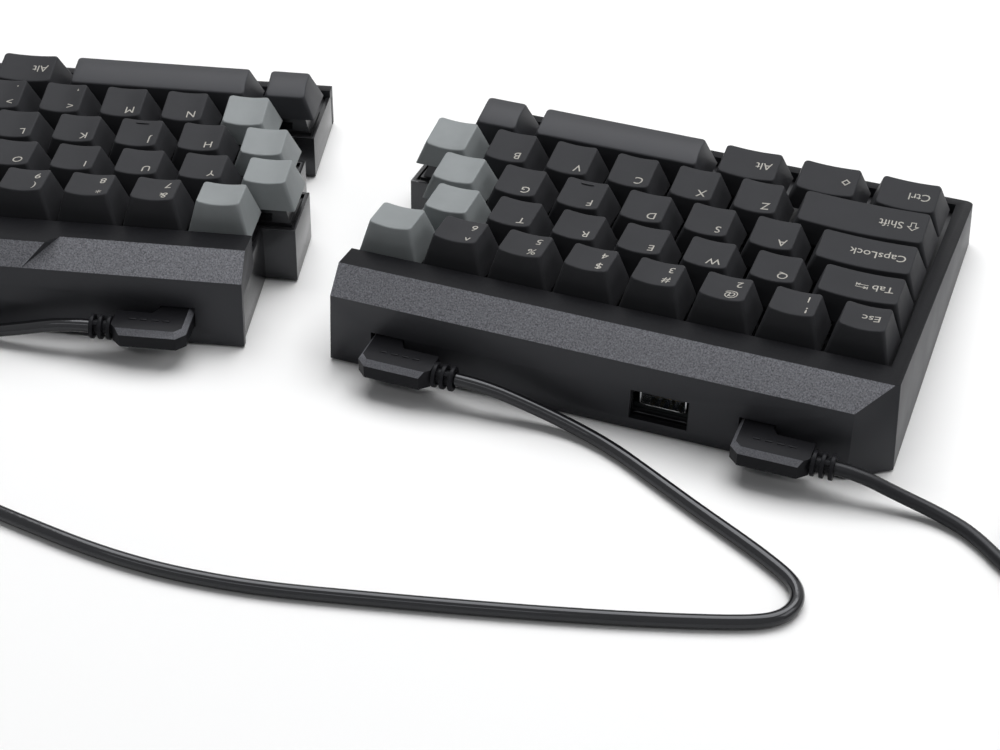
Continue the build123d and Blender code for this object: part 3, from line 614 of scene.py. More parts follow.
def cap_walls(cap, steps):
    """Foot and head of the wall line at each point of the skirt, the head on the curved top."""
    skirt = rounded_outline(cap.half_x, -cap.half_v, cap.half_v, SKIRT_CORNER, steps)
    top = rounded_outline(cap.top_x, cap.front, cap.rear, sizes().cap_corner / MM, steps)
    walls = []
    for base, tip in zip(skirt, top):
        foot = Vector((*base, CAP_SKIRT))
        flat = Vector((*tip, cap.plane(tip[1])))
        head = foot.lerp(flat, (cap.top_point(*tip).z - foot.z) / (flat.z - foot.z))
        walls.append((foot, cap.top_point(head.x, head.y)))
    span = max(0.0, cap.top_x - (cap.rear - cap.front) / 2) * CORE_SHARE
    middle = (cap.front + cap.rear) / 2
    cores = [Vector((max(-span, min(span, tip[0])), middle, 0)) for tip in top]
    return walls, cores


def skin_rings(cap, walls, cores):
    """Rings up the wall, round its upper edge and over the top to its middle line."""
    edge = sizes().cap_edge / MM
    rings = [[foot.lerp(head, share) for foot, head in walls] for share in WALL_SHARES]
    lows = [head + (foot - head).normalized() * edge for foot, head in walls]
    highs = []
    for (foot, head), core in zip(walls, cores):
        flat = head + Vector((core.x - head.x, core.y - head.y, 0)).normalized() * edge
        highs.append(cap.top_point(flat.x, flat.y))
    for share in EDGE_SHARES:
        rings.append([
            low * (1 - share) ** 2 + head * (2 * share * (1 - share)) + high * share**2
            for low, (foot, head), high in zip(lows, walls, highs)
        ])
    for share in TOP_SHARES:
        rings.append([
            cap.top_point(high.x + (core.x - high.x) * share, high.y + (core.y - high.y) * share)
            for high, core in zip(highs, cores)
        ])
    return rings


def hollow_rings(cap, steps):
    """Rings at the mouth and at the ceiling of the hollow underside."""
    inner_x, inner_v = cap.half_x - CAP_WALL, cap.half_v - CAP_WALL
    lean_x = (cap.half_x - cap.top_x) * cap.hollow / cap.least_rise
    lean_rear = (cap.rear - cap.half_v) * cap.hollow / cap.rear_rise
    lean_front = (cap.front + cap.half_v) * cap.hollow / cap.front_rise
    mouth = rounded_outline(inner_x, -inner_v, inner_v, INNER_CORNER, steps)
    ceiling = rounded_outline(
        inner_x - lean_x, lean_front - inner_v, lean_rear + inner_v, INNER_CORNER, steps,
    )
    return [
        [Vector((x, v, CAP_SKIRT)) for x, v in mouth],
        [Vector((x, v, CAP_SKIRT + cap.hollow)) for x, v in ceiling],
    ]


def cap_shell(shape, cap, mark, matrix):
    """Outer skin, rounded edge, dished or crowned top and hollow underside of one keycap."""
    steps = (max(LEAST_STEPS, round(STEPS_PER_UNIT * cap.width_units)), SIDE_STEPS)
    walls, cores = cap_walls(cap, steps)
    rings = skin_rings(cap, walls, cores)
    count = len(walls)
    faces = ring_faces(len(rings), count)
    mouth = len(rings) * count
    for i in range(count):
        j = (i + 1) % count
        a, b = mouth + i, mouth + j
        faces.append((j, i, a, b))
        faces.append((b, a, a + count, b + count))
    faces.append(tuple(mouth + count + i for i in reversed(range(count))))
    made = bmesh.new()
    verts = [made.verts.new(point) for ring in rings + hollow_rings(cap, steps) for point in ring]
    for face in faces:
        made.faces.new([verts[i] for i in face])
    bmesh.ops.remove_doubles(made, verts=made.verts[:], dist=MERGE_DISTANCE)
    bmesh.ops.dissolve_degenerate(made, edges=made.edges[:], dist=MERGE_DISTANCE)
    shape.add_bmesh(made, mark, matrix)


# Distance from a wide key's switch to its stabilisers, by its width in key units
STABILISED = {2: 11.94, 2.25: 11.94, 2.75: 11.94, 3: 19.05, 3.25: 19.05}
# Half widths of slider and boss
SWITCH_STEM = (3.1, 2.8)
STABILISER_STEM = (2.1, 2.05)
SLIDER_FOOT = 0.2
SLIDER_TOP = 7.0
BOSS_GRIP = 0.3
HOMING_BAR = (2.0, 0.35, 0.38)
HOMING_SINK = 0.3
HOMING_EDGE = 0.25
HOMING_MARGIN = 1.3


def stabiliser_places(width_units):
    reach = STABILISED.get(width_units)
    return [-reach, reach] if reach else []


def add_stems(shape, cap, mark, cap_mark, matrix):
    """Sliders of the switch and its stabilisers, each with the cap's boss on it."""
    places = [(0, SWITCH_STEM)]
    places += [(x, STABILISER_STEM) for x in stabiliser_places(cap.width_units)]
    ceiling = CAP_SKIRT + cap.hollow + BOSS_GRIP
    for x, (slider, boss) in places:
        shape.box((x - slider, -slider, SLIDER_FOOT), (x + slider, slider, SLIDER_TOP), mark, matrix)
        shape.box((x - boss, -boss, SLIDER_TOP), (x + boss, boss, ceiling), cap_mark, matrix)


def homing_bar(shape, cap, mark, matrix):
    """Short raised bar near the typist's edge of the two homing keys."""
    half_x, half_v, rise = HOMING_BAR
    v = cap.front + HOMING_MARGIN
    z = cap.level(0, v)
    low, high = (-half_x, v - half_v, z - HOMING_SINK), (half_x, v + half_v, z + rise)
    shape.box(low, high, mark, matrix, bevel=HOMING_EDGE)


# Legends
GLYPH_DEPTH = 0.02
GLYPH_MERGE = 0.0001
TAB_WIDTH = 3.4
TAB_STROKE = 0.24
BACK_STROKE = 0.28
DIAMOND_SIZE = 2.7


class Lettering:
    """Turns text into solid letters with a known capital height, each text made once."""

    def __init__(self):
        self.made = {}
        self.scale = 1.0
        low, high = extent(self.glyphs("H"))
        self.scale = sizes().legend_height / MM / (high[1] - low[1])
        self.made.clear()

    def glyphs(self, text):
        if text not in self.made:
            curve = bpy.data.curves.new("lettering", "FONT")
            curve.body = text
            curve.size = self.scale
            curve.extrude = GLYPH_DEPTH * self.scale
            curve.resolution_u = 3
            holder = link_object("lettering", curve)
            mesh = evaluated_mesh(holder)
            made = bmesh.new()
            made.from_mesh(mesh)
            bmesh.ops.remove_doubles(made, verts=made.verts[:], dist=GLYPH_MERGE)
            made.verts.index_update()
            points = [tuple(vert.co) for vert in made.verts]
            faces = [tuple(vert.index for vert in face.verts) for face in made.faces]
            made.free()
            bpy.data.objects.remove(holder)
            bpy.data.meshes.remove(mesh)
            bpy.data.curves.remove(curve)
            self.made[text] = (points, faces)
        return self.made[text]


def extent(solid):
    """Lower and upper corner of a flat solid."""
    points = solid[0]
    return [[pick(point[i] for point in points) for i in range(2)] for pick in (min, max)]


def polygon_bar(outline):
    """Solid from a flat outline, given anticlockwise, two units thick."""
    count = len(outline)
    points = [(x, y, z) for z in (-1.0, 1.0) for x, y in outline]
    faces = [tuple(reversed(range(count))), tuple(range(count, 2 * count))]
    return points, faces + ring_faces(2, count)


def ring_of(outer, inner):
    """Solid between two outlines with as many points each."""
    count = len(outer)
    points = [(x, y, z) for z in (-1.0, 1.0) for line in (outer, inner) for x, y in line]
    faces = []
    for i in range(count):
        j = (i + 1) % count
        faces.append((i, count + i, count + j, j))
        faces.append((2 * count + i, 2 * count + j, 3 * count + j, 3 * count + i))
        faces.append((i, j, 2 * count + j, 2 * count + i))
        faces.append((count + j, count + i, 3 * count + i, 3 * count + j))
    return points, faces


def stroke(x0, y0, x1, y1, width):
    """Straight stroke of a sign, with square ends half its width beyond its points."""
    along = Vector((x1 - x0, y1 - y0)).normalized() * width / 2
    side = Vector((-along.y, along.x))
    start, end = Vector((x0, y0)) - along, Vector((x1, y1)) + along
    corners = (start - side, end - side, end + side, start + side)
    return polygon_bar([tuple(corner) for corner in corners])


def shift_sign():
    """Hollow arrow that points away from the typist."""
    outer = [(1.0, -0.4), (2.6, -0.4), (2.6, 1.3), (3.6, 1.3), (1.8, 3.1), (0, 1.3), (1.0, 1.3)]
    inner = [
        (1.26, -0.14), (2.34, -0.14), (2.34, 1.56), (2.95, 1.56), (1.8, 2.72), (0.65, 1.56),
        (1.26, 1.56),
    ]
    return [ring_of(outer, inner)]


def tab_sign():
    """Two arrows against bars, one each way."""
    parts = []
    for y, is_flipped in ((1.95, False), (0.75, True)):
        stop, tip, tail, barb = [TAB_WIDTH - x if is_flipped else x for x in (0.1, 0.35, 3.3, 1.05)]
        parts.append(stroke(stop, y - 0.5, stop, y + 0.5, TAB_STROKE))
        parts.append(stroke(tip, y, tail, y, TAB_STROKE))
        parts.append(stroke(tip, y, barb, y + 0.45, TAB_STROKE))
        parts.append(stroke(tip, y, barb, y - 0.45, TAB_STROKE))
    return parts


def diamond_sign():
    outer = [(0, 1.35), (1.35, 0), (2.7, 1.35), (1.35, 2.7)]
    inner = [(0.5, 1.35), (1.35, 0.5), (2.2, 1.35), (1.35, 2.2)]
    return [ring_of(outer, inner)]


def back_sign():
    """Arrow to the typist's left."""
    return [stroke(0.2, 1.35, x, y, BACK_STROKE) for x, y in ((3.2, 1.35), (1.2, 2.2), (1.2, 0.5))]


# Signs that stand before their word, with the distance from the sign's start to the word's
LEADING_SIGNS = {"Shift": (shift_sign, 4.5), "Backspace": (back_sign, 4.3)}
TRAILING_GAP = 1.1
LEGEND_MARGIN = 2.0
# Heights of the legends on a cap's top, as shares of its depth from the typist's edge
MIDDLE_SHARE = 0.5
FAR_SHARE = 0.77
NEAR_SHARE = 0.29
PRINT_RISE = 0.03
PRINT_DEPTH = 0.12


def legend_items(lettering, text, cap):
    """Solids of a legend with their places: at the upper left, or at middle height for a word."""
    left = LEGEND_MARGIN - cap.top_x
    capital = sizes().legend_height / MM

    def line(share, height):
        return cap.front + (cap.rear - cap.front) * share - height / 2

    if text == "diamond":
        return [(diamond_sign(), left, line(MIDDLE_SHARE, DIAMOND_SIZE))]
    if len(text) <= 2:
        heights = (FAR_SHARE, NEAR_SHARE)
        return [
            ([lettering.glyphs(sign)], left, line(share, capital))
            for sign, share in zip(reversed(text), heights)
        ]
    word = lettering.glyphs(text)
    y = line(MIDDLE_SHARE, capital)
    if text in LEADING_SIGNS:
        make_sign, advance = LEADING_SIGNS[text]
        return [(make_sign(), left, y), ([word], left + advance, y)]
    items = [([word], left, y)]
    if text == "Tab":
        items.append((tab_sign(), left + extent(word)[1][0] + TRAILING_GAP, y))
    return items


def print_legend(shape, lettering, text, cap, mark, matrix):
    """Lay a legend over the curved top of a cap."""
    for parts, x, y in legend_items(lettering, text, cap):
        for points, faces in parts:
            placed = []
            for px, py, pz in points:
                lift = PRINT_RISE if pz > 0 else -PRINT_DEPTH
                placed.append((x + px, y + py, cap.level(x + px, y + py) + lift))
            shape.add(placed, faces, mark, matrix)


CAP_PALETTE = ("dark", "grey", "round", "stem", "legend")


def add_key(shape, lettering, entry, row, matrix):
    """One key: its cap, its sliders and its legend."""
    text, width_units, kind = entry
    cap = Cap(width_units, row, kind)
    mark = CAP_PALETTE.index(kind)
    cap_shell(shape, cap, mark, matrix)
    add_stems(shape, cap, CAP_PALETTE.index("stem"), mark, matrix)
    if text in HOMING_KEYS:
        homing_bar(shape, cap, mark, matrix)
    if text and finish_colours().show_legends:
        print_legend(shape, lettering, text, cap, CAP_PALETTE.index("legend"), matrix)


class KEYBOARD_OT_keycaps(bpy.types.Operator):
    """Make every keycap with its legend and the switch slider under it"""

    bl_idname = "keyboard.keycaps"
    bl_label = "Keycaps"

    def execute(self, context):
        lettering = Lettering()
        for row in range(ROW_COUNT):
            for key, (x, entry) in zip(LEFT_NODES[row], key_places("left", row)):
                node = "key_" + key
                shape = Shape()
                add_key(shape, lettering, entry, row, on_plate("left", row, x))
                shape.as_piece(node + "_cap", CAP_PALETTE, [node], node)
            bank = RIGHT_NODES[row]
            shape = Shape()
            for x, entry in key_places("right", row):
                add_key(shape, lettering, entry, row, on_plate("right", row, x))
            shape.as_piece(bank + "_caps", CAP_PALETTE, [bank], bank)
        return {"FINISHED"}


# Case and inner pieces
VERTEX_MERGE = 0.002 * MM
FLAT_ANGLE = math.radians(0.6)
EDGE_ANGLE = math.radians(20)
# Limits of a face's upward turn: above the first a face is level, between the two it is a bevel. The
# case's level faces get painted shade, and the bevels of case and plugs get painted sheen.
LEVEL_NORMAL = 0.9
BEVEL_NORMAL = 0.25
TRAY_EDGE_SHARE = 0.7
FOOT_EDGE = 0.25


def solid_copy(node):
    """Merged copy of a CAD node's mesh, with its flat faces joined again."""
    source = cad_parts[node]
    made = bmesh.new()
    made.from_mesh(source.data)
    made.transform(source.matrix_world)
    bmesh.ops.remove_doubles(made, verts=made.verts[:], dist=VERTEX_MERGE)
    bmesh.ops.dissolve_limit(
        made, angle_limit=FLAT_ANGLE, verts=made.verts[:], edges=made.edges[:],
    )
    return made


def dressed(node, finishes_and_painted_light, edge):
    """Copy of a CAD node with its sharp edges rounded, which stands for the node.

    Three materials go on the level faces, the bevels and the walls, by how far each face turns upward;
    on the top covers this paints shade on the level faces and sheen on the bevels.
    """
    made = solid_copy(node)
    mesh = bpy.data.meshes.new(node + "_skin")
    made.to_mesh(mesh)
    made.free()
    mesh.materials.clear()
    for key in finishes_and_painted_light:
        mesh.materials.append(MATERIALS[key])
    # Sorting the faces by their upward turn gives the level faces the painted shade and the bevels the
    # painted sheen.
    if len(finishes_and_painted_light) == 3:
        for face in mesh.polygons:
            upward = face.normal.z
            face.material_index = 0 if upward > LEVEL_NORMAL else 1 if upward > BEVEL_NORMAL else 2
    mesh.shade_smooth()
    rounding = piece(node + "_skin", mesh, "keyboard", [node]).modifiers.new("edges", "BEVEL")
    rounding.width = edge
    rounding.segments = 2
    rounding.limit_method = "ANGLE"
    rounding.angle_limit = EDGE_ANGLE
    rounding.use_clamp_overlap = True
    rounding.harden_normals = True


def repaint(node, key):
    """A CAD node that stays, with a procedural material."""
    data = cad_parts[node].data
    data.materials.clear()
    data.materials.append(MATERIALS[key])


class KEYBOARD_OT_case(bpy.types.Operator):
    """Make the top and bottom covers of both halves"""

    bl_idname = "keyboard.case"
    bl_label = "Case"

    def execute(self, context):
        edge = sizes().case_edge
        for side in ("left", "right"):
            # The top cover's roof, bevels and walls take painted shade, painted sheen and the case's
            # own colour.
            dressed(side + "_top_cover", ("case", "case_bevel", "case_wall"), edge)
            dressed(side + "_bottom_cover", ("tray",), edge * TRAY_EDGE_SHARE)
            repaint(side + "_switch_plate", "plate")
            repaint(side + "_circuit_board", "board")
        repaint("port_boards", "board")
        return {"FINISHED"}


# Geometry Nodes
class Tree:
    """A geometry node tree under construction."""

    def __init__(self, name):
        self.group = bpy.data.node_groups.new(name, "GeometryNodeTree")
        for way in ("INPUT", "OUTPUT"):
            self.group.interface.new_socket(
                "Geometry", in_out=way, socket_type="NodeSocketGeometry",
            )
        self.entry = self.group.nodes.new("NodeGroupInput")
        self.exit = self.group.nodes.new("NodeGroupOutput")
        self.sockets = {}

    def input(self, name, kind, default=None):
        made = self.group.interface.new_socket(name, in_out="INPUT", socket_type=kind)
        if default is not None:
            made.default_value = default
        self.sockets[name] = made.identifier
        return self.entry.outputs[name]

    def node(self, kind, inputs=(), **settings):
        return add_node(self.group, kind, inputs, **settings)

    def end(self, geometry, material):
        real = self.node("GeometryNodeRealizeInstances", {"Geometry": geometry})
        painted = self.node(
            "GeometryNodeSetMaterial", {"Geometry": real.outputs["Geometry"], "Material": material},
        )
        self.group.links.new(painted.outputs["Geometry"], self.exit.inputs["Geometry"])


def points_mesh(name, places):
    """Mesh of single points, each with the turn of what is set there, from a list of matrices."""
    mesh = bpy.data.meshes.new(name)
    mesh.from_pydata([tuple(place.translation) for place in places], [], [])
    turns = mesh.attributes.new("turn", "FLOAT_VECTOR", "POINT")
    for number, place in enumerate(places):
        turns.data[number].vector = place.to_quaternion().to_euler("XYZ")
    return mesh


def grown(name, tree, places, values, replaced=()):
    """Piece that a tree makes on a set of points, kept as a plain mesh."""
    holder = link_object(name, points_mesh(name, places))
    modifier = holder.modifiers.new(name, "NODES")
    modifier.node_group = tree.group
    for label, value in values.items():
        modifier[tree.sockets[label]] = value
    mesh = evaluated_mesh(holder)
    holder.modifiers.remove(modifier)
    bpy.data.objects.remove(holder)
    mesh.name = name
    return piece(name, mesh, "keyboard", replaced)


def instance_tree(name, make_instance):
    """Tree that sets one instance, made by make_instance(tree), on every point."""
    tree = Tree(name)
    material = tree.input("Material", "NodeSocketMaterial")
    instance = make_instance(tree)
    turn = tree.node("GeometryNodeInputNamedAttribute", {"Name": "turn"}, data_type="FLOAT_VECTOR")
    spread = tree.node(
        "GeometryNodeInstanceOnPoints",
        {"Points": tree.entry.outputs["Geometry"], "Instance": instance,
         "Rotation": turn.outputs["Attribute"]},
    )
    tree.end(spread.outputs["Instances"], material)
    return tree


def block_tree(name):
    """A plain block with its size as an input."""

    def make(tree):
        size = tree.input("Size", "NodeSocketVector")
        return tree.node("GeometryNodeMeshCube", {"Size": size}).outputs["Mesh"]

    return instance_tree(name, make)


def ring_tree(name):
    """A flat ring with rounded edges around each point's own x axis."""

    def make(tree):
        radius = tree.input("Ring radius", "NodeSocketFloat", RING_RADIUS * MM)
        width = tree.input("Ring width", "NodeSocketFloat", RING_WIDTH * MM)
        depth = tree.input("Ring depth", "NodeSocketFloat", RING_DEPTH * MM)
        circle = tree.node(
            "GeometryNodeCurvePrimitiveCircle", {"Resolution": RING_STEPS, "Radius": radius},
        )
        section = tree.node(
            "GeometryNodeCurvePrimitiveQuadrilateral", {"Width": depth, "Height": width},
        )
        rounded = tree.node(
            "GeometryNodeFilletCurve",
            {"Curve": section.outputs["Curve"], "Radius": RING_EDGE * MM, "Count": 2}, mode="POLY",
        )
        body = tree.node(
            "GeometryNodeCurveToMesh",
            {"Curve": circle.outputs["Curve"], "Profile Curve": rounded.outputs["Curve"]},
        )
        turned = tree.node(
            "GeometryNodeTransform",
            {"Geometry": body.outputs["Mesh"], "Rotation": (0.0, math.pi / 2, 0.0)},
        )
        return turned.outputs["Geometry"]

    return instance_tree(name, make)


def source_tree(name):
    """Tree that sets a given object on every point."""

    def make(tree):
        source = tree.input("Source", "NodeSocketObject")
        return tree.node("GeometryNodeObjectInfo", {"Object": source}).outputs["Geometry"]

    return instance_tree(name, make)


def set_out(name, shape, key, places, node):
    """Piece with a copy of a shape, drawn in millimetres, at every place."""
    shape.points = [point * MM for point in shape.points]
    source = link_object("pattern", shape.mesh("pattern", (key,)))
    values = {"Source": source, "Material": MATERIALS[key]}
    grown(name, source_tree(name), places, values, [node])
    bpy.data.objects.remove(source)


def set_blocks(name, size, key, places):
    """Piece with a plain block, its size in millimetres, at every place."""
    values = {"Size": tuple(side * MM for side in size), "Material": MATERIALS[key]}
    grown(name, block_tree(name), places, values)


# Half widths and heights of the housings' square outlines, from below
SWITCH_PROFILE = [
    (6.9, -5.0), (6.9, 0.0), (7.8, 0.0), (7.8, 0.9), (7.1, 1.0), (5.2, 6.2), (4.9, 6.6),
]
STABILISER_PROFILE = [(3.4, -5.0), (3.4, 0.0), (4.0, 0.0), (3.9, 0.6), (3.1, 6.6)]
SWITCH_BORE = 3.15
STABILISER_BORE = 2.15
WELL_FLOOR = -4.5
CLIP_PLACE = 5.7
CLIP_HALVES = (1.8, 1.3)
CLIP_HEIGHTS = (1.2, 3.4)


def housing_shape(profile, bore):
    """Housing under a key, with a square well that its slider runs in."""
    levels = profile + [(bore, profile[-1][1]), (bore, WELL_FLOOR)]
    points = [
        (x * half, y * half, w)
        for half, w in levels for x, y in ((-1, -1), (1, -1), (1, 1), (-1, 1))
    ]
    last = len(points) - 4
    bottom, floor = (3, 2, 1, 0), tuple(range(last, last + 4))
    shape = Shape()
    shape.add(points, [bottom] + ring_faces(len(levels), 4) + [floor], 0)
    return shape


def switch_shape():
    """Switch housing with the clips at its sides."""
    shape = housing_shape(SWITCH_PROFILE, SWITCH_BORE)
    (half_x, half_y), (low, high) = CLIP_HALVES, CLIP_HEIGHTS
    for y in (-CLIP_PLACE, CLIP_PLACE):
        shape.box((-half_x, y - half_y, low), (half_x, y + half_y, high), 0)
    return shape


class KEYBOARD_OT_switches(bpy.types.Operator):
    """Set a switch housing under every key, and stabilisers under the wide ones"""

    bl_idname = "keyboard.switches"
    bl_label = "Switches"

    def execute(self, context):
        switches, stabilisers = [], []
        for side in ("left", "right"):
            for row in range(ROW_COUNT):
                for x, entry in key_places(side, row):
                    switches.append(unscaled(on_plate(side, row, x)))
                    for reach in stabiliser_places(entry[1]):
                        stabilisers.append(unscaled(on_plate(side, row, x + reach)))
        for name, shape, places in (
            ("switch_housings", switch_shape(), switches),
            ("stabiliser_housings", housing_shape(STABILISER_PROFILE, STABILISER_BORE), stabilisers),
        ):
            set_out(name + "_set", shape, "housing", places, name)
        return {"FINISHED"}


# Ports, screws and feet
HUB_FACE = REAR_LINE - CASE_WALL - 3.0
# Corners of the hub socket's tongue and bright lower lip, from the middle of its face
HUB_TONGUE = ((-5.75, -9.4, 0.1), (5.75, -0.9, 1.75))
HUB_LIP = ((-4.8, -0.1, -2.9), (4.8, 0.15, -2.5))
HUB_TONGUE_EDGE = 0.15
HUB_LIP_EDGE = 0.1
CONTACT_COUNT = 4
CONTACT_PITCH = 2.5
CONTACT_PLACE = (-3.75, -4.6, 0.06)
CONTACT_SIZE = (1.0, 7.0, 0.12)


class KEYBOARD_OT_ports(bpy.types.Operator):
    """Make the sockets in the rear wall with their contacts"""

    bl_idname = "keyboard.ports"
    bl_label = "Ports"

    def execute(self, context):
        for node in ("mini_sockets", "hub_socket"):
            repaint(node, "shell")
        matrix = half_matrix("left") @ Matrix.Translation((HUB_PORT, HUB_FACE, HUB_AXIS))
        shape = Shape()
        shape.box(*HUB_TONGUE, 0, matrix, bevel=HUB_TONGUE_EDGE)
        shape.box(*HUB_LIP, 1, matrix, bevel=HUB_LIP_EDGE)
        shape.as_piece("hub_tongue", ("insulator", "shell"))
        x, y, z = CONTACT_PLACE
        places = []
        for number in range(CONTACT_COUNT):
            place = matrix @ Matrix.Translation((x + CONTACT_PITCH * number, y, z))
            places.append(Matrix.Translation(place.translation))
        set_blocks("hub_contacts", CONTACT_SIZE, "contact", places)
        return {"FINISHED"}


WELL_REAR = 102.4
WELL_SKIRT = 1.6
TRAY_PLAY = 1.3
CASE_LIFT = 0.6
SCREW_OUTER = 11.0
SCREW_MIDDLE_SHARE = 0.57
SCREW_INNER = 6.4
HEAD_RADII = (2.45, 2.75)
HEAD_HEIGHT = 1.2
HEAD_SEGMENTS = 24
SHANK_RADII = (1.24, 1.24)
SHANK_LENGTH = 7.8
SHANK_SEGMENTS = 16
CROSS_SIZE = (3.0, 0.7, 0.1)
CROSS_RISE = 0.03


def screw_shape():
    """Pan head, slightly smaller below, on its shank, pointing up."""
    shape = Shape()
    head = Matrix.Translation((0, 0, HEAD_HEIGHT / 2))
    shank = Matrix.Translation((0, 0, HEAD_HEIGHT + SHANK_LENGTH / 2))
    shape.bar(HEAD_RADII, HEAD_HEIGHT, HEAD_SEGMENTS, head, 0)
    shape.bar(SHANK_RADII, SHANK_LENGTH, SHANK_SEGMENTS, shank, 0)
    return shape


def screw_places():
    y = (WELL_REAR + WELL_SKIRT + REAR_LINE - CASE_WALL - TRAY_PLAY) / 2
    places = []
    for side, units in (("left", LEFT_END), ("right", RIGHT_ENDS[0])):
        end = units * PITCH
        for q in (SCREW_OUTER, end * SCREW_MIDDLE_SHARE, end - SCREW_INNER):
            place = half_matrix(side) @ Matrix.Translation((from_side(side, q), y, CASE_LIFT))
            places.append(Matrix.Translation(place.translation))
    return places


class KEYBOARD_OT_underside(bpy.types.Operator):
    """Make the case screws and the rubber feet"""

    bl_idname = "keyboard.underside"
    bl_label = "Screws and feet"

    def execute(self, context):
        places = screw_places()
        set_out("case_screw_set", screw_shape(), "screw", places, "case_screws")
        # Painted shade: thin dark crosses at the underside of each screw head stand for the shade in
        # its cross recess.
        raised = Matrix.Translation((0, 0, CROSS_RISE * MM))
        cross = [
            place @ raised @ Matrix.Rotation(turn, 4, "Z")
            for place in places for turn in (0.0, math.pi / 2)
        ]
        set_blocks("screw_recesses", CROSS_SIZE, "housing", cross)
        dressed("rubber_feet", ("rubber",), FOOT_EDGE * MM)
        return {"FINISHED"}


# Cables and plugs
COIL_CLIMB = 0.5
COIL_STEP = 0.001
TURN_POINTS = 16
TAIL_START = (2.0, 14.0)
TAIL_END = (-12.0, 3.8)
# Plug for the computer, from its cable's end: body, grips, shell, tongue and catches
USB_PALETTE = ("plug", "shell", "insulator")
USB_BODY = (8.0, 32.0)
USB_BODY_HALF = 7.8
USB_EDGE = 1.4
USB_RELIEF_RADIUS = 2.6
GRIP_PLACE = 7.5
GRIP_COUNT = 5
GRIP_START = 14.0
GRIP_PITCH = 2.6
GRIP_WIDTH = 1.2
GRIP_HALF_HEIGHT = 2.4
GRIP_HALF_DEPTH = 0.5
GRIP_EDGE = 0.2
USB_SHELL = (31.5, 43.9)
USB_SHELL_HALF = 6.0
USB_SHELL_RISE = 2.25
USB_SKIN = 0.35
USB_TONGUE = ((31.6, -5.65, -1.9), (43.0, 5.65, -0.1))
USB_TONGUE_EDGE = 0.1
CATCH_PLACE = 3
CATCH = ((36.5, -1.2, 2.2), (38.9, 1.2, 2.27))
# Angled plugs at the halves: block, dashes on top, nose in the socket, and strain relief
PLUG_PALETTE = ("plug", "shell", "plug_bevel")
PLUG_ROUNDING = 0.22
PLUG_SHARP = math.radians(15)
BEVEL_AREA = 0.4
STUB_SINK = 1.5
DASH_COUNT = 4
DASH_START = -1.6
DASH_PITCH = 3.2
DASH_HALVES = (1.05, 0.5)
DASH_SHARE = 0.36
DASH_SINK = 0.1
DASH_RISE = 0.22
DASH_EDGE = 0.1
PLUG_NOSE = ((-3.35, -9.5, -1.5), (3.35, -1.4, 1.5))
RELIEF_RADIUS = 2.15
RELIEF_TAPER = 0.94
RELIEF_SINK = 0.2
RELIEF_SEGMENTS = 28
RELIEF_BAR_TURN = math.radians(35)
RELIEF_BAR_HALF = 0.6
RELIEF_BAR_FOOT = 1.8
RELIEF_BAR_TOP = 3.2
RELIEF_BAR_EDGE = 0.15
RING_RADIUS = 2.8
RING_WIDTH = 1.15
RING_DEPTH = 1.4
RING_EDGE = 0.22
RING_MARGIN = 0.3
RING_STEPS = 32


def port_frame(side, q):
    """Frame of one plug: x along the wall away from the cable, y out of the wall, z up."""
    place = (from_side(side, q), REAR_LINE - CASE_WALL, PORT_AXIS)
    matrix = half_matrix(side) @ Matrix.Translation(place)
    if side == "right":
        matrix = matrix @ Matrix.Scale(-1, 4, (1, 0, 0))
    return matrix


def coil_place(turns, grow=1.0):
    """Point on the put-away coil after a number of turns, in millimetres, grown from its axis."""
    climb = min(max(turns - (COIL_TURNS - COIL_CLIMB) / 2, 0), COIL_CLIMB) / COIL_CLIMB
    radius = COIL_MEAN + COIL_PITCH * (abs(turns - COIL_TURNS / 2) - COIL_TURNS / 4)
    angle = COIL_START + 2 * math.pi * turns
    x, y = COIL_CENTRE
    z = CORD_RADIUS + COIL_PITCH * (climb - math.sin(2 * math.pi * climb) / (2 * math.pi))
    return Vector((x + radius * math.cos(angle) * grow, y + radius * math.sin(angle) * grow, z))


def open_spline(name, points, material, diameter):
    """Round cable along one open spline, its control points given in metres."""
    curve = bpy.data.curves.new(name, "CURVE")
    curve.dimensions = "3D"
    curve.bevel_depth = diameter / 2
    curve.bevel_resolution = 4
    curve.resolution_u = 8
    curve.use_fill_caps = True
    spline = curve.splines.new("NURBS")
    spline.points.add(len(points) - 1)
    for point, place in zip(spline.points, points):
        point.co = tuple(place) + (1.0,)
    spline.order_u = 3
    spline.use_endpoint_u = True
    curve.materials.append(material)
    return link_object(name, curve)


def route_points(shares):
    return [Vector((x * PITCH, y * PITCH, CORD_RADIUS + lift * PITCH)) for x, y, lift in shares]


def link_points():
    """Control points from the left half's link plug to the right half's."""
    left = half_matrix("left")
    right = half_matrix("right")
    start_x = LINK_PORT_LEFT - PLUG_EXIT_REACH
    end_x = LAYOUT_UNITS * PITCH - LINK_PORT_RIGHT + PLUG_EXIT_REACH
    points = [left @ Vector((x, PLUG_EXIT_Y, PORT_AXIS)) for x in (start_x, start_x - LINK_LEAD)]
    points += [left @ point for point in route_points(LINK_ROUTE)]
    return points + [right @ Vector((x, PLUG_EXIT_Y, PORT_AXIS)) for x in (end_x + LINK_LEAD, end_x)]


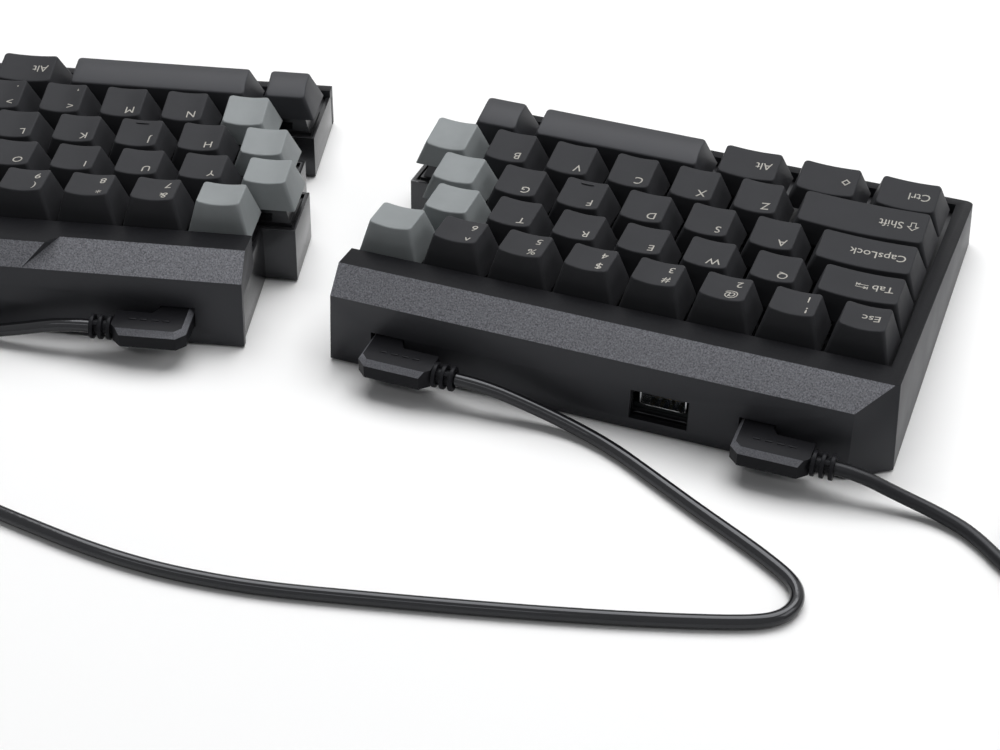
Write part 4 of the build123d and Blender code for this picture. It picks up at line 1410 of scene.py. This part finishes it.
def host_points():
    """Control points from the host plug through the coil to the computer plug, and its way."""
    left = half_matrix("left")
    start_x = HOST_PORT - PLUG_EXIT_REACH
    points = [Vector((x, PLUG_EXIT_Y, PORT_AXIS)) for x in (start_x, start_x - HOST_LEAD)]
    points += route_points(HOST_ROUTE)
    begin = coil_place(0)
    way = (coil_place(COIL_STEP) - begin).normalized()
    points += [begin - way * (2 * CORD_RADIUS * share) for share in (1 + COIL_LEAD_SHARE, 1)]
    grow = 1 / math.cos(math.pi / TURN_POINTS)
    for number in range(1, COIL_TURNS * TURN_POINTS):
        points.append(coil_place(number / TURN_POINTS, grow))
    end = coil_place(COIL_TURNS)
    way = end - coil_place(COIL_TURNS - COIL_STEP)
    way = Vector((way.x, way.y, 0)).normalized()
    points += [end + way * reach for reach in TAIL_START]
    tail = end + way * COIL_TAIL
    tail.z = USB_HALF_HEIGHT
    points += [tail + way * reach for reach in TAIL_END]
    return [left @ point for point in points], way


def measured(curve_object):
    """Length of a curve's own line, without its thickness, in metres."""
    data = curve_object.data.copy()
    data.bevel_depth = 0.0
    data.use_fill_caps = False
    holder = link_object("measure", data)
    mesh = evaluated_mesh(holder)
    length = sum(
        (mesh.vertices[edge.vertices[0]].co - mesh.vertices[edge.vertices[1]].co).length
        for edge in mesh.edges
    )
    bpy.data.objects.remove(holder)
    bpy.data.meshes.remove(mesh)
    bpy.data.curves.remove(data)
    return length


def computer_plug(matrix):
    """Type A plug lying on the desk: body with ribbed grips, open shell, tongue and two catches."""
    shape = Shape()
    (start, end), half = USB_BODY, USB_BODY_HALF
    low, high = (start, -half, -USB_HALF_HEIGHT), (end, half, USB_HALF_HEIGHT)
    shape.box(low, high, 0, matrix, bevel=USB_EDGE)
    for y in (-GRIP_PLACE, GRIP_PLACE):
        for number in range(GRIP_COUNT):
            x = GRIP_START + GRIP_PITCH * number
            low = (x, y - GRIP_HALF_DEPTH, -GRIP_HALF_HEIGHT)
            high = (x + GRIP_WIDTH, y + GRIP_HALF_DEPTH, GRIP_HALF_HEIGHT)
            shape.box(low, high, 0, matrix, bevel=GRIP_EDGE)
    (start, end), half, rise, skin = USB_SHELL, USB_SHELL_HALF, USB_SHELL_RISE, USB_SKIN
    for z in (-rise, rise - skin):
        shape.box((start, -half, z), (end, half, z + skin), 1, matrix)
    for y in (-half, half - skin):
        shape.box((start, y, skin - rise), (end, y + skin, rise - skin), 1, matrix)
    shape.box(*USB_TONGUE, 2, matrix, bevel=USB_TONGUE_EDGE)
    for y in (-CATCH_PLACE, CATCH_PLACE):
        low, high = CATCH
        shape.box((low[0], y + low[1], low[2]), (high[0], y + high[1], high[2]), 2, matrix)
    return shape.as_piece("computer_plug", USB_PALETTE, ["usb_plug"])


def plug_outline():
    """Outline of an angled plug from above, from its stub round the block, anticlockwise."""
    right = PLUG_STUB / 2
    left = right - PLUG_LENGTH
    near = PLUG_GAP + PLUG_DEPTH
    return [
        (right, -STUB_SINK), (right, near - PLUG_CORNER), (right - PLUG_CORNER, near),
        (left + PLUG_CORNER, near), (left, near - PLUG_CORNER), (left, PLUG_GAP),
        (-right - PLUG_SHOULDER, PLUG_GAP), (-right, CASE_WALL), (-right, -STUB_SINK),
    ]


def plug_block():
    """Block of an angled plug, its outer upper edges bevelled and all its edges rounded."""
    outline = plug_outline()
    half = PLUG_HEIGHT / 2
    made = bmesh.new()
    points = [(x, y, z) for z in (-half, half) for x, y in outline]
    verts = [made.verts.new(point) for point in points]
    count = len(outline)
    for face in [range(count)[::-1], range(count, 2 * count)] + ring_faces(2, count):
        made.faces.new([verts[i] for i in face])
    run, drop = PLUG_BEVEL
    for place, turn in ((outline[3], 90), (outline[1], 45), (outline[1], 0)):
        out = Vector((math.cos(math.radians(turn)), math.sin(math.radians(turn)), 0))
        result = bmesh.ops.bisect_plane(
            made, geom=made.verts[:] + made.edges[:] + made.faces[:],
            plane_co=Vector((*place, half - drop)), plane_no=out * drop + Vector((0, 0, run)),
            clear_outer=True,
        )
        edges = [item for item in result["geom_cut"] if isinstance(item, bmesh.types.BMEdge)]
        bmesh.ops.contextual_create(made, geom=edges)
    bmesh.ops.recalc_face_normals(made, faces=made.faces[:])
    sharp = [edge for edge in made.edges if edge.calc_face_angle(0) > PLUG_SHARP]
    round_edges(made, sharp, PLUG_ROUNDING)
    bmesh.ops.recalc_face_normals(made, faces=made.faces[:])
    return made


def plug_body(shape, matrix):
    """Angled plug with its bevel faces painted lighter as a painted sheen, four raised dashes and a
    steel nose.
    """
    made = plug_block()
    marks = []
    # Large bevel faces, found by their upward turn, get the lighter material as painted sheen.
    for face in made.faces:
        gets_painted_sheen = BEVEL_NORMAL < face.normal.z < LEVEL_NORMAL and face.calc_area() > BEVEL_AREA
        marks.append(PLUG_PALETTE.index("plug_bevel") if gets_painted_sheen else 0)
    shape.add_bmesh(made, 0, matrix, marks)
    (half_x, half_y), top = DASH_HALVES, PLUG_HEIGHT / 2
    y = PLUG_GAP + PLUG_DEPTH * DASH_SHARE
    for number in range(DASH_COUNT):
        x = DASH_START - DASH_PITCH * number
        low = (x - half_x, y - half_y, top - DASH_SINK)
        shape.box(low, (x + half_x, y + half_y, top + DASH_RISE), 0, matrix, bevel=DASH_EDGE)
    shape.box(*PLUG_NOSE, 1, matrix)


def relief_core(shape, matrix, start, length, radius):
    """Round core of a strain relief along -x from start."""
    place = Matrix.Translation((start - length / 2, 0, 0)) @ Matrix.Rotation(-math.pi / 2, 4, "Y")
    shape.bar((radius, radius * RELIEF_TAPER), length, RELIEF_SEGMENTS, place, 0, matrix)


def relief(shape, matrix):
    """Core of a plug's strain relief and the bars between its rings; returns the rings' places."""
    start = PLUG_STUB / 2 - PLUG_LENGTH
    relief_core(shape, matrix, start + RELIEF_SINK, RELIEF_LENGTH, RELIEF_RADIUS)
    count = sizes().rib_count
    step = (RELIEF_LENGTH - RING_WIDTH - RING_MARGIN) / max(1, count - 1)
    rings = []
    for number in range(count):
        x = start - RING_MARGIN - RING_WIDTH / 2 - step * number
        rings.append(unscaled(matrix @ Matrix.Translation((x, 0, 0))))
        if number:
            turn = Matrix.Rotation(RELIEF_BAR_TURN * (1 if number % 2 else -1), 4, "X")
            low = (x, -RELIEF_BAR_HALF, RELIEF_BAR_FOOT)
            high = (x + step, RELIEF_BAR_HALF, RELIEF_BAR_TOP)
            shape.box(low, high, 0, matrix @ turn, bevel=RELIEF_BAR_EDGE)
    return rings


def plug_set(name, node, places):
    """Bodies of some plugs as one piece, and the rings of their reliefs as another."""
    shape = Shape()
    rings = []
    for side, q in places:
        matrix = port_frame(side, q)
        plug_body(shape, matrix)
        reach = PLUG_EXIT_Y - REAR_LINE + CASE_WALL
        rings += relief(shape, matrix @ Matrix.Translation((0, reach, 0)))
    bodies = shape.as_piece(name + "_plug_bodies", PLUG_PALETTE, [node])
    values = {
        "Ring radius": RING_RADIUS * MM, "Ring width": RING_WIDTH * MM,
        "Ring depth": RING_DEPTH * MM, "Material": MATERIALS["plug"],
    }
    ribs = name + "_plug_ribs"
    return [bodies, grown(ribs, ring_tree("relief_rings"), rings, values)]


class KEYBOARD_OT_cables(bpy.types.Operator):
    """Lay the link cable and the host cable, with the spare length of the host cable coiled"""

    bl_idname = "keyboard.cables"
    bl_label = "Cables"

    def execute(self, context):
        diameter = sizes().cable_diameter
        points = link_points()
        link = open_spline("link_cord", points, MATERIALS["cable"], diameter)
        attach(link, "keyboard")
        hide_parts("link_cable")
        places = [("left", LINK_PORT_LEFT), ("right", LINK_PORT_RIGHT)]
        link_ends = plug_set("link", "link_plugs", places)
        host_end = plug_set("host", "host_plug", [("left", HOST_PORT)])
        round(measured(link), 4)
        points, way = host_points()
        host = open_spline("host_cord", points, MATERIALS["host_cable"], diameter)
        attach(host, "keyboard")
        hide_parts("host_cable", "host_cable_coil")
        matrix = Matrix.Translation(points[-1]) @ Matrix.Rotation(math.atan2(way.y, way.x), 4, "Z")
        matrix = matrix @ Matrix.Scale(MM, 4)
        computer = computer_plug(matrix)
        shape = Shape()
        relief_core(shape, matrix, USB_BODY[0], USB_BODY[0], USB_RELIEF_RADIUS)
        core = shape.as_piece("computer_plug_relief", ("plug",))
        round(measured(host), 4)
        return {"FINISHED"}


# Stage
# Name, place, size in metres and power of each lamp, all of them aimed at the origin
STUDIO_LIGHTS = [
    ("overhead_softbox", (0.0, -0.6, 1.42), (1.7, 1.2), 28.5),
    ("far_softbox", (0.0, -1.0, 1.1), (1.6, 0.7), 2.0),
    ("near_strip", (0.083, 0.652, 0.66), (0.7, 0.10), 0.6),
    ("side_softbox", (-1.0, -0.1, 0.7), (0.6, 0.5), 2.2),
]
CAMERA_PLACE = (-50.71, 565.06, 370.62)
CAMERA_TARGET = (106.744, 109.52, 0.0)
CAMERA_ROLL = math.radians(1.152)
CAMERA_LENS = 78.17
CAMERA_SENSOR = 36.0
CAMERA_SHIFT = (0.00314, -0.00017)
CAMERA_CLIP = (0.01, 20.0)
FLOOR_REACH = 6.0
FLOOR_COLOUR = (0.93, 0.93, 0.93, 1.0)
FLOOR_ROUGHNESS = 0.9
FLOOR_SPECULAR = 0.1
FLOOR_GRAIN = 60.0
FLOOR_RELIEF = (0.02, 0.2 * MM)
FLOOR_FADE = (0.7, 1.3)
AMBIENT_COLOUR = (0.95, 0.97, 1.0, 1.0)
AMBIENT_STRENGTH = 0.10


class KEYBOARD_OT_camera(bpy.types.Operator):
    """Set the camera at the photograph's viewing angle"""

    bl_idname = "keyboard.camera"
    bl_label = "Camera"

    def execute(self, context):
        place = half_matrix("left") @ Vector(CAMERA_PLACE)
        target = half_matrix("left") @ Vector(CAMERA_TARGET)
        back = (place - target).normalized()
        level = Vector((0, 0, 1)).cross(back).normalized()
        upright = back.cross(level)
        right = level * math.cos(CAMERA_ROLL) + upright * math.sin(CAMERA_ROLL)
        up = upright * math.cos(CAMERA_ROLL) - level * math.sin(CAMERA_ROLL)
        data = bpy.data.cameras.new("studio_camera")
        data.lens = CAMERA_LENS
        data.sensor_width = CAMERA_SENSOR
        data.sensor_fit = "HORIZONTAL"
        data.shift_x, data.shift_y = CAMERA_SHIFT
        data.clip_start, data.clip_end = CAMERA_CLIP
        camera = link_object("studio_camera", data)
        turn = Matrix((right, up, back)).transposed()
        camera.matrix_world = Matrix.Translation(place) @ turn.to_4x4()
        context.scene.camera = camera
        return {"FINISHED"}


def soft_light(name, place, size, power):
    data = bpy.data.lights.new(name, "AREA")
    data.shape = "RECTANGLE"
    data.size, data.size_y = size
    data.energy = power
    made = link_object(name, data)
    made.location = place
    made.rotation_mode = "QUATERNION"
    made.rotation_quaternion = (-Vector(place)).to_track_quat("-Z", "Y")


def seen_rays(tree):
    """1 for what the camera, a gloss or a clear body shows, 0 for light that falls on things."""
    path = tree.nodes.new("ShaderNodeLightPath")
    total = path.outputs["Is Camera Ray"]
    for name in ("Is Glossy Ray", "Is Transmission Ray"):
        inputs = {0: total, 1: path.outputs[name]}
        total = add_node(tree, "ShaderNodeMath", inputs, operation="MAXIMUM").outputs[0]
    return total


def mix_shaders(tree, share, first, second, end):
    """Feed the end of a tree with two shaders, mixed by a share."""
    blend = add_node(tree, "ShaderNodeMixShader", {"Fac": share, 1: first, 2: second})
    tree.links.new(blend.outputs["Shader"], tree.nodes[end].inputs["Surface"])


def distant_floor(surface):
    """Show the floor white where the lamps' light thins out, and leave it as it is near the object."""
    tree = surface.tree
    distance = add_node(tree, "ShaderNodeVectorMath", {0: surface.coords}, operation="LENGTH")
    low, high = FLOOR_FADE
    inputs = {"Value": distance.outputs["Value"], "From Min": low, "From Max": high}
    far = add_node(tree, "ShaderNodeMapRange", inputs).outputs["Result"]
    shown = add_node(tree, "ShaderNodeMath", {0: far, 1: seen_rays(tree)}, operation="MULTIPLY")
    white = add_node(tree, "ShaderNodeEmission", {"Strength": 1.0}).outputs["Emission"]
    mix_shaders(
        tree, shown.outputs[0], surface.shader.outputs["BSDF"], white, "Material Output",
    )


def distant_walls(tree):
    """A dim even world that lights the object, seen as a white backdrop."""
    ambient = tree.nodes["Background"]
    ambient.inputs["Color"].default_value = AMBIENT_COLOUR
    ambient.inputs["Strength"].default_value = AMBIENT_STRENGTH
    white = add_node(tree, "ShaderNodeBackground", {"Strength": 1.0}).outputs["Background"]
    mix_shaders(tree, seen_rays(tree), ambient.outputs["Background"], white, "World Output")


class KEYBOARD_OT_stage(bpy.types.Operator):
    """Make the pale floor, the lights and the world"""

    bl_idname = "keyboard.stage"
    bl_label = "Stage"

    def execute(self, context):
        mesh = bpy.data.meshes.new("studio_floor")
        corners = [(x, y, 0) for x, y in ((-1, -1), (1, -1), (1, 1), (-1, 1))]
        mesh.from_pydata([Vector(corner) * FLOOR_REACH for corner in corners], [], [(0, 1, 2, 3)])
        surface = Surface("floor_paper", FLOOR_COLOUR, FLOOR_ROUGHNESS)
        surface.set(Specular_IOR_Level=FLOOR_SPECULAR)
        surface.bump(surface.noise(FLOOR_GRAIN), *FLOOR_RELIEF)
        distant_floor(surface)
        mesh.materials.append(surface.material)
        floor = link_object("studio_floor", mesh)
        world = bpy.data.worlds.new("studio")
        context.scene.world = world
        world.use_nodes = True
        distant_walls(world.node_tree)
        for name, place, size, power in STUDIO_LIGHTS:
            soft_light(name, place, size, power)
        context.scene.view_settings.view_transform = "Standard"
        return {"FINISHED"}


class KEYBOARD_PT_panel(bpy.types.Panel):
    """Panel that lists the steps"""

    bl_idname = "KEYBOARD_PT_panel"
    bl_label = "Split Keyboard"
    bl_space_type = "VIEW_3D"
    bl_region_type = "UI"
    bl_category = "Split Keyboard"

    def draw(self, context):
        for group in (context.scene.keyboard_sizes, context.scene.keyboard_finish):
            box = self.layout.box()
            for name in group.bl_rna.properties.keys():
                if name not in ("rna_type", "name"):
                    box.prop(group, name)
        for operator in OPERATORS:
            self.layout.operator(operator.bl_idname)


OPERATORS = (
    KEYBOARD_OT_camera,
    KEYBOARD_OT_cables,
    KEYBOARD_OT_keycaps,
    KEYBOARD_OT_case,
    KEYBOARD_OT_switches,
    KEYBOARD_OT_ports,
    KEYBOARD_OT_underside,
    KEYBOARD_OT_stage,
)
CLASSES = (KeyboardSizes, KeyboardFinish) + OPERATORS + (KEYBOARD_PT_panel,)


def register():
    for cls in CLASSES:
        bpy.utils.register_class(cls)
    bpy.types.Scene.keyboard_sizes = PointerProperty(type=KeyboardSizes)
    bpy.types.Scene.keyboard_finish = PointerProperty(type=KeyboardFinish)


def unregister():
    del bpy.types.Scene.keyboard_finish
    del bpy.types.Scene.keyboard_sizes
    for cls in reversed(CLASSES):
        bpy.utils.unregister_class(cls)


def main():
    register()
    make_materials()
    bpy.ops.keyboard.camera()
    bpy.ops.keyboard.cables()
    bpy.ops.keyboard.keycaps()
    bpy.ops.keyboard.case()
    bpy.ops.keyboard.switches()
    bpy.ops.keyboard.ports()
    bpy.ops.keyboard.underside()
    bpy.ops.keyboard.stage()
    bpy.context.view_layer.update()


if __name__ == "__main__":
    main()
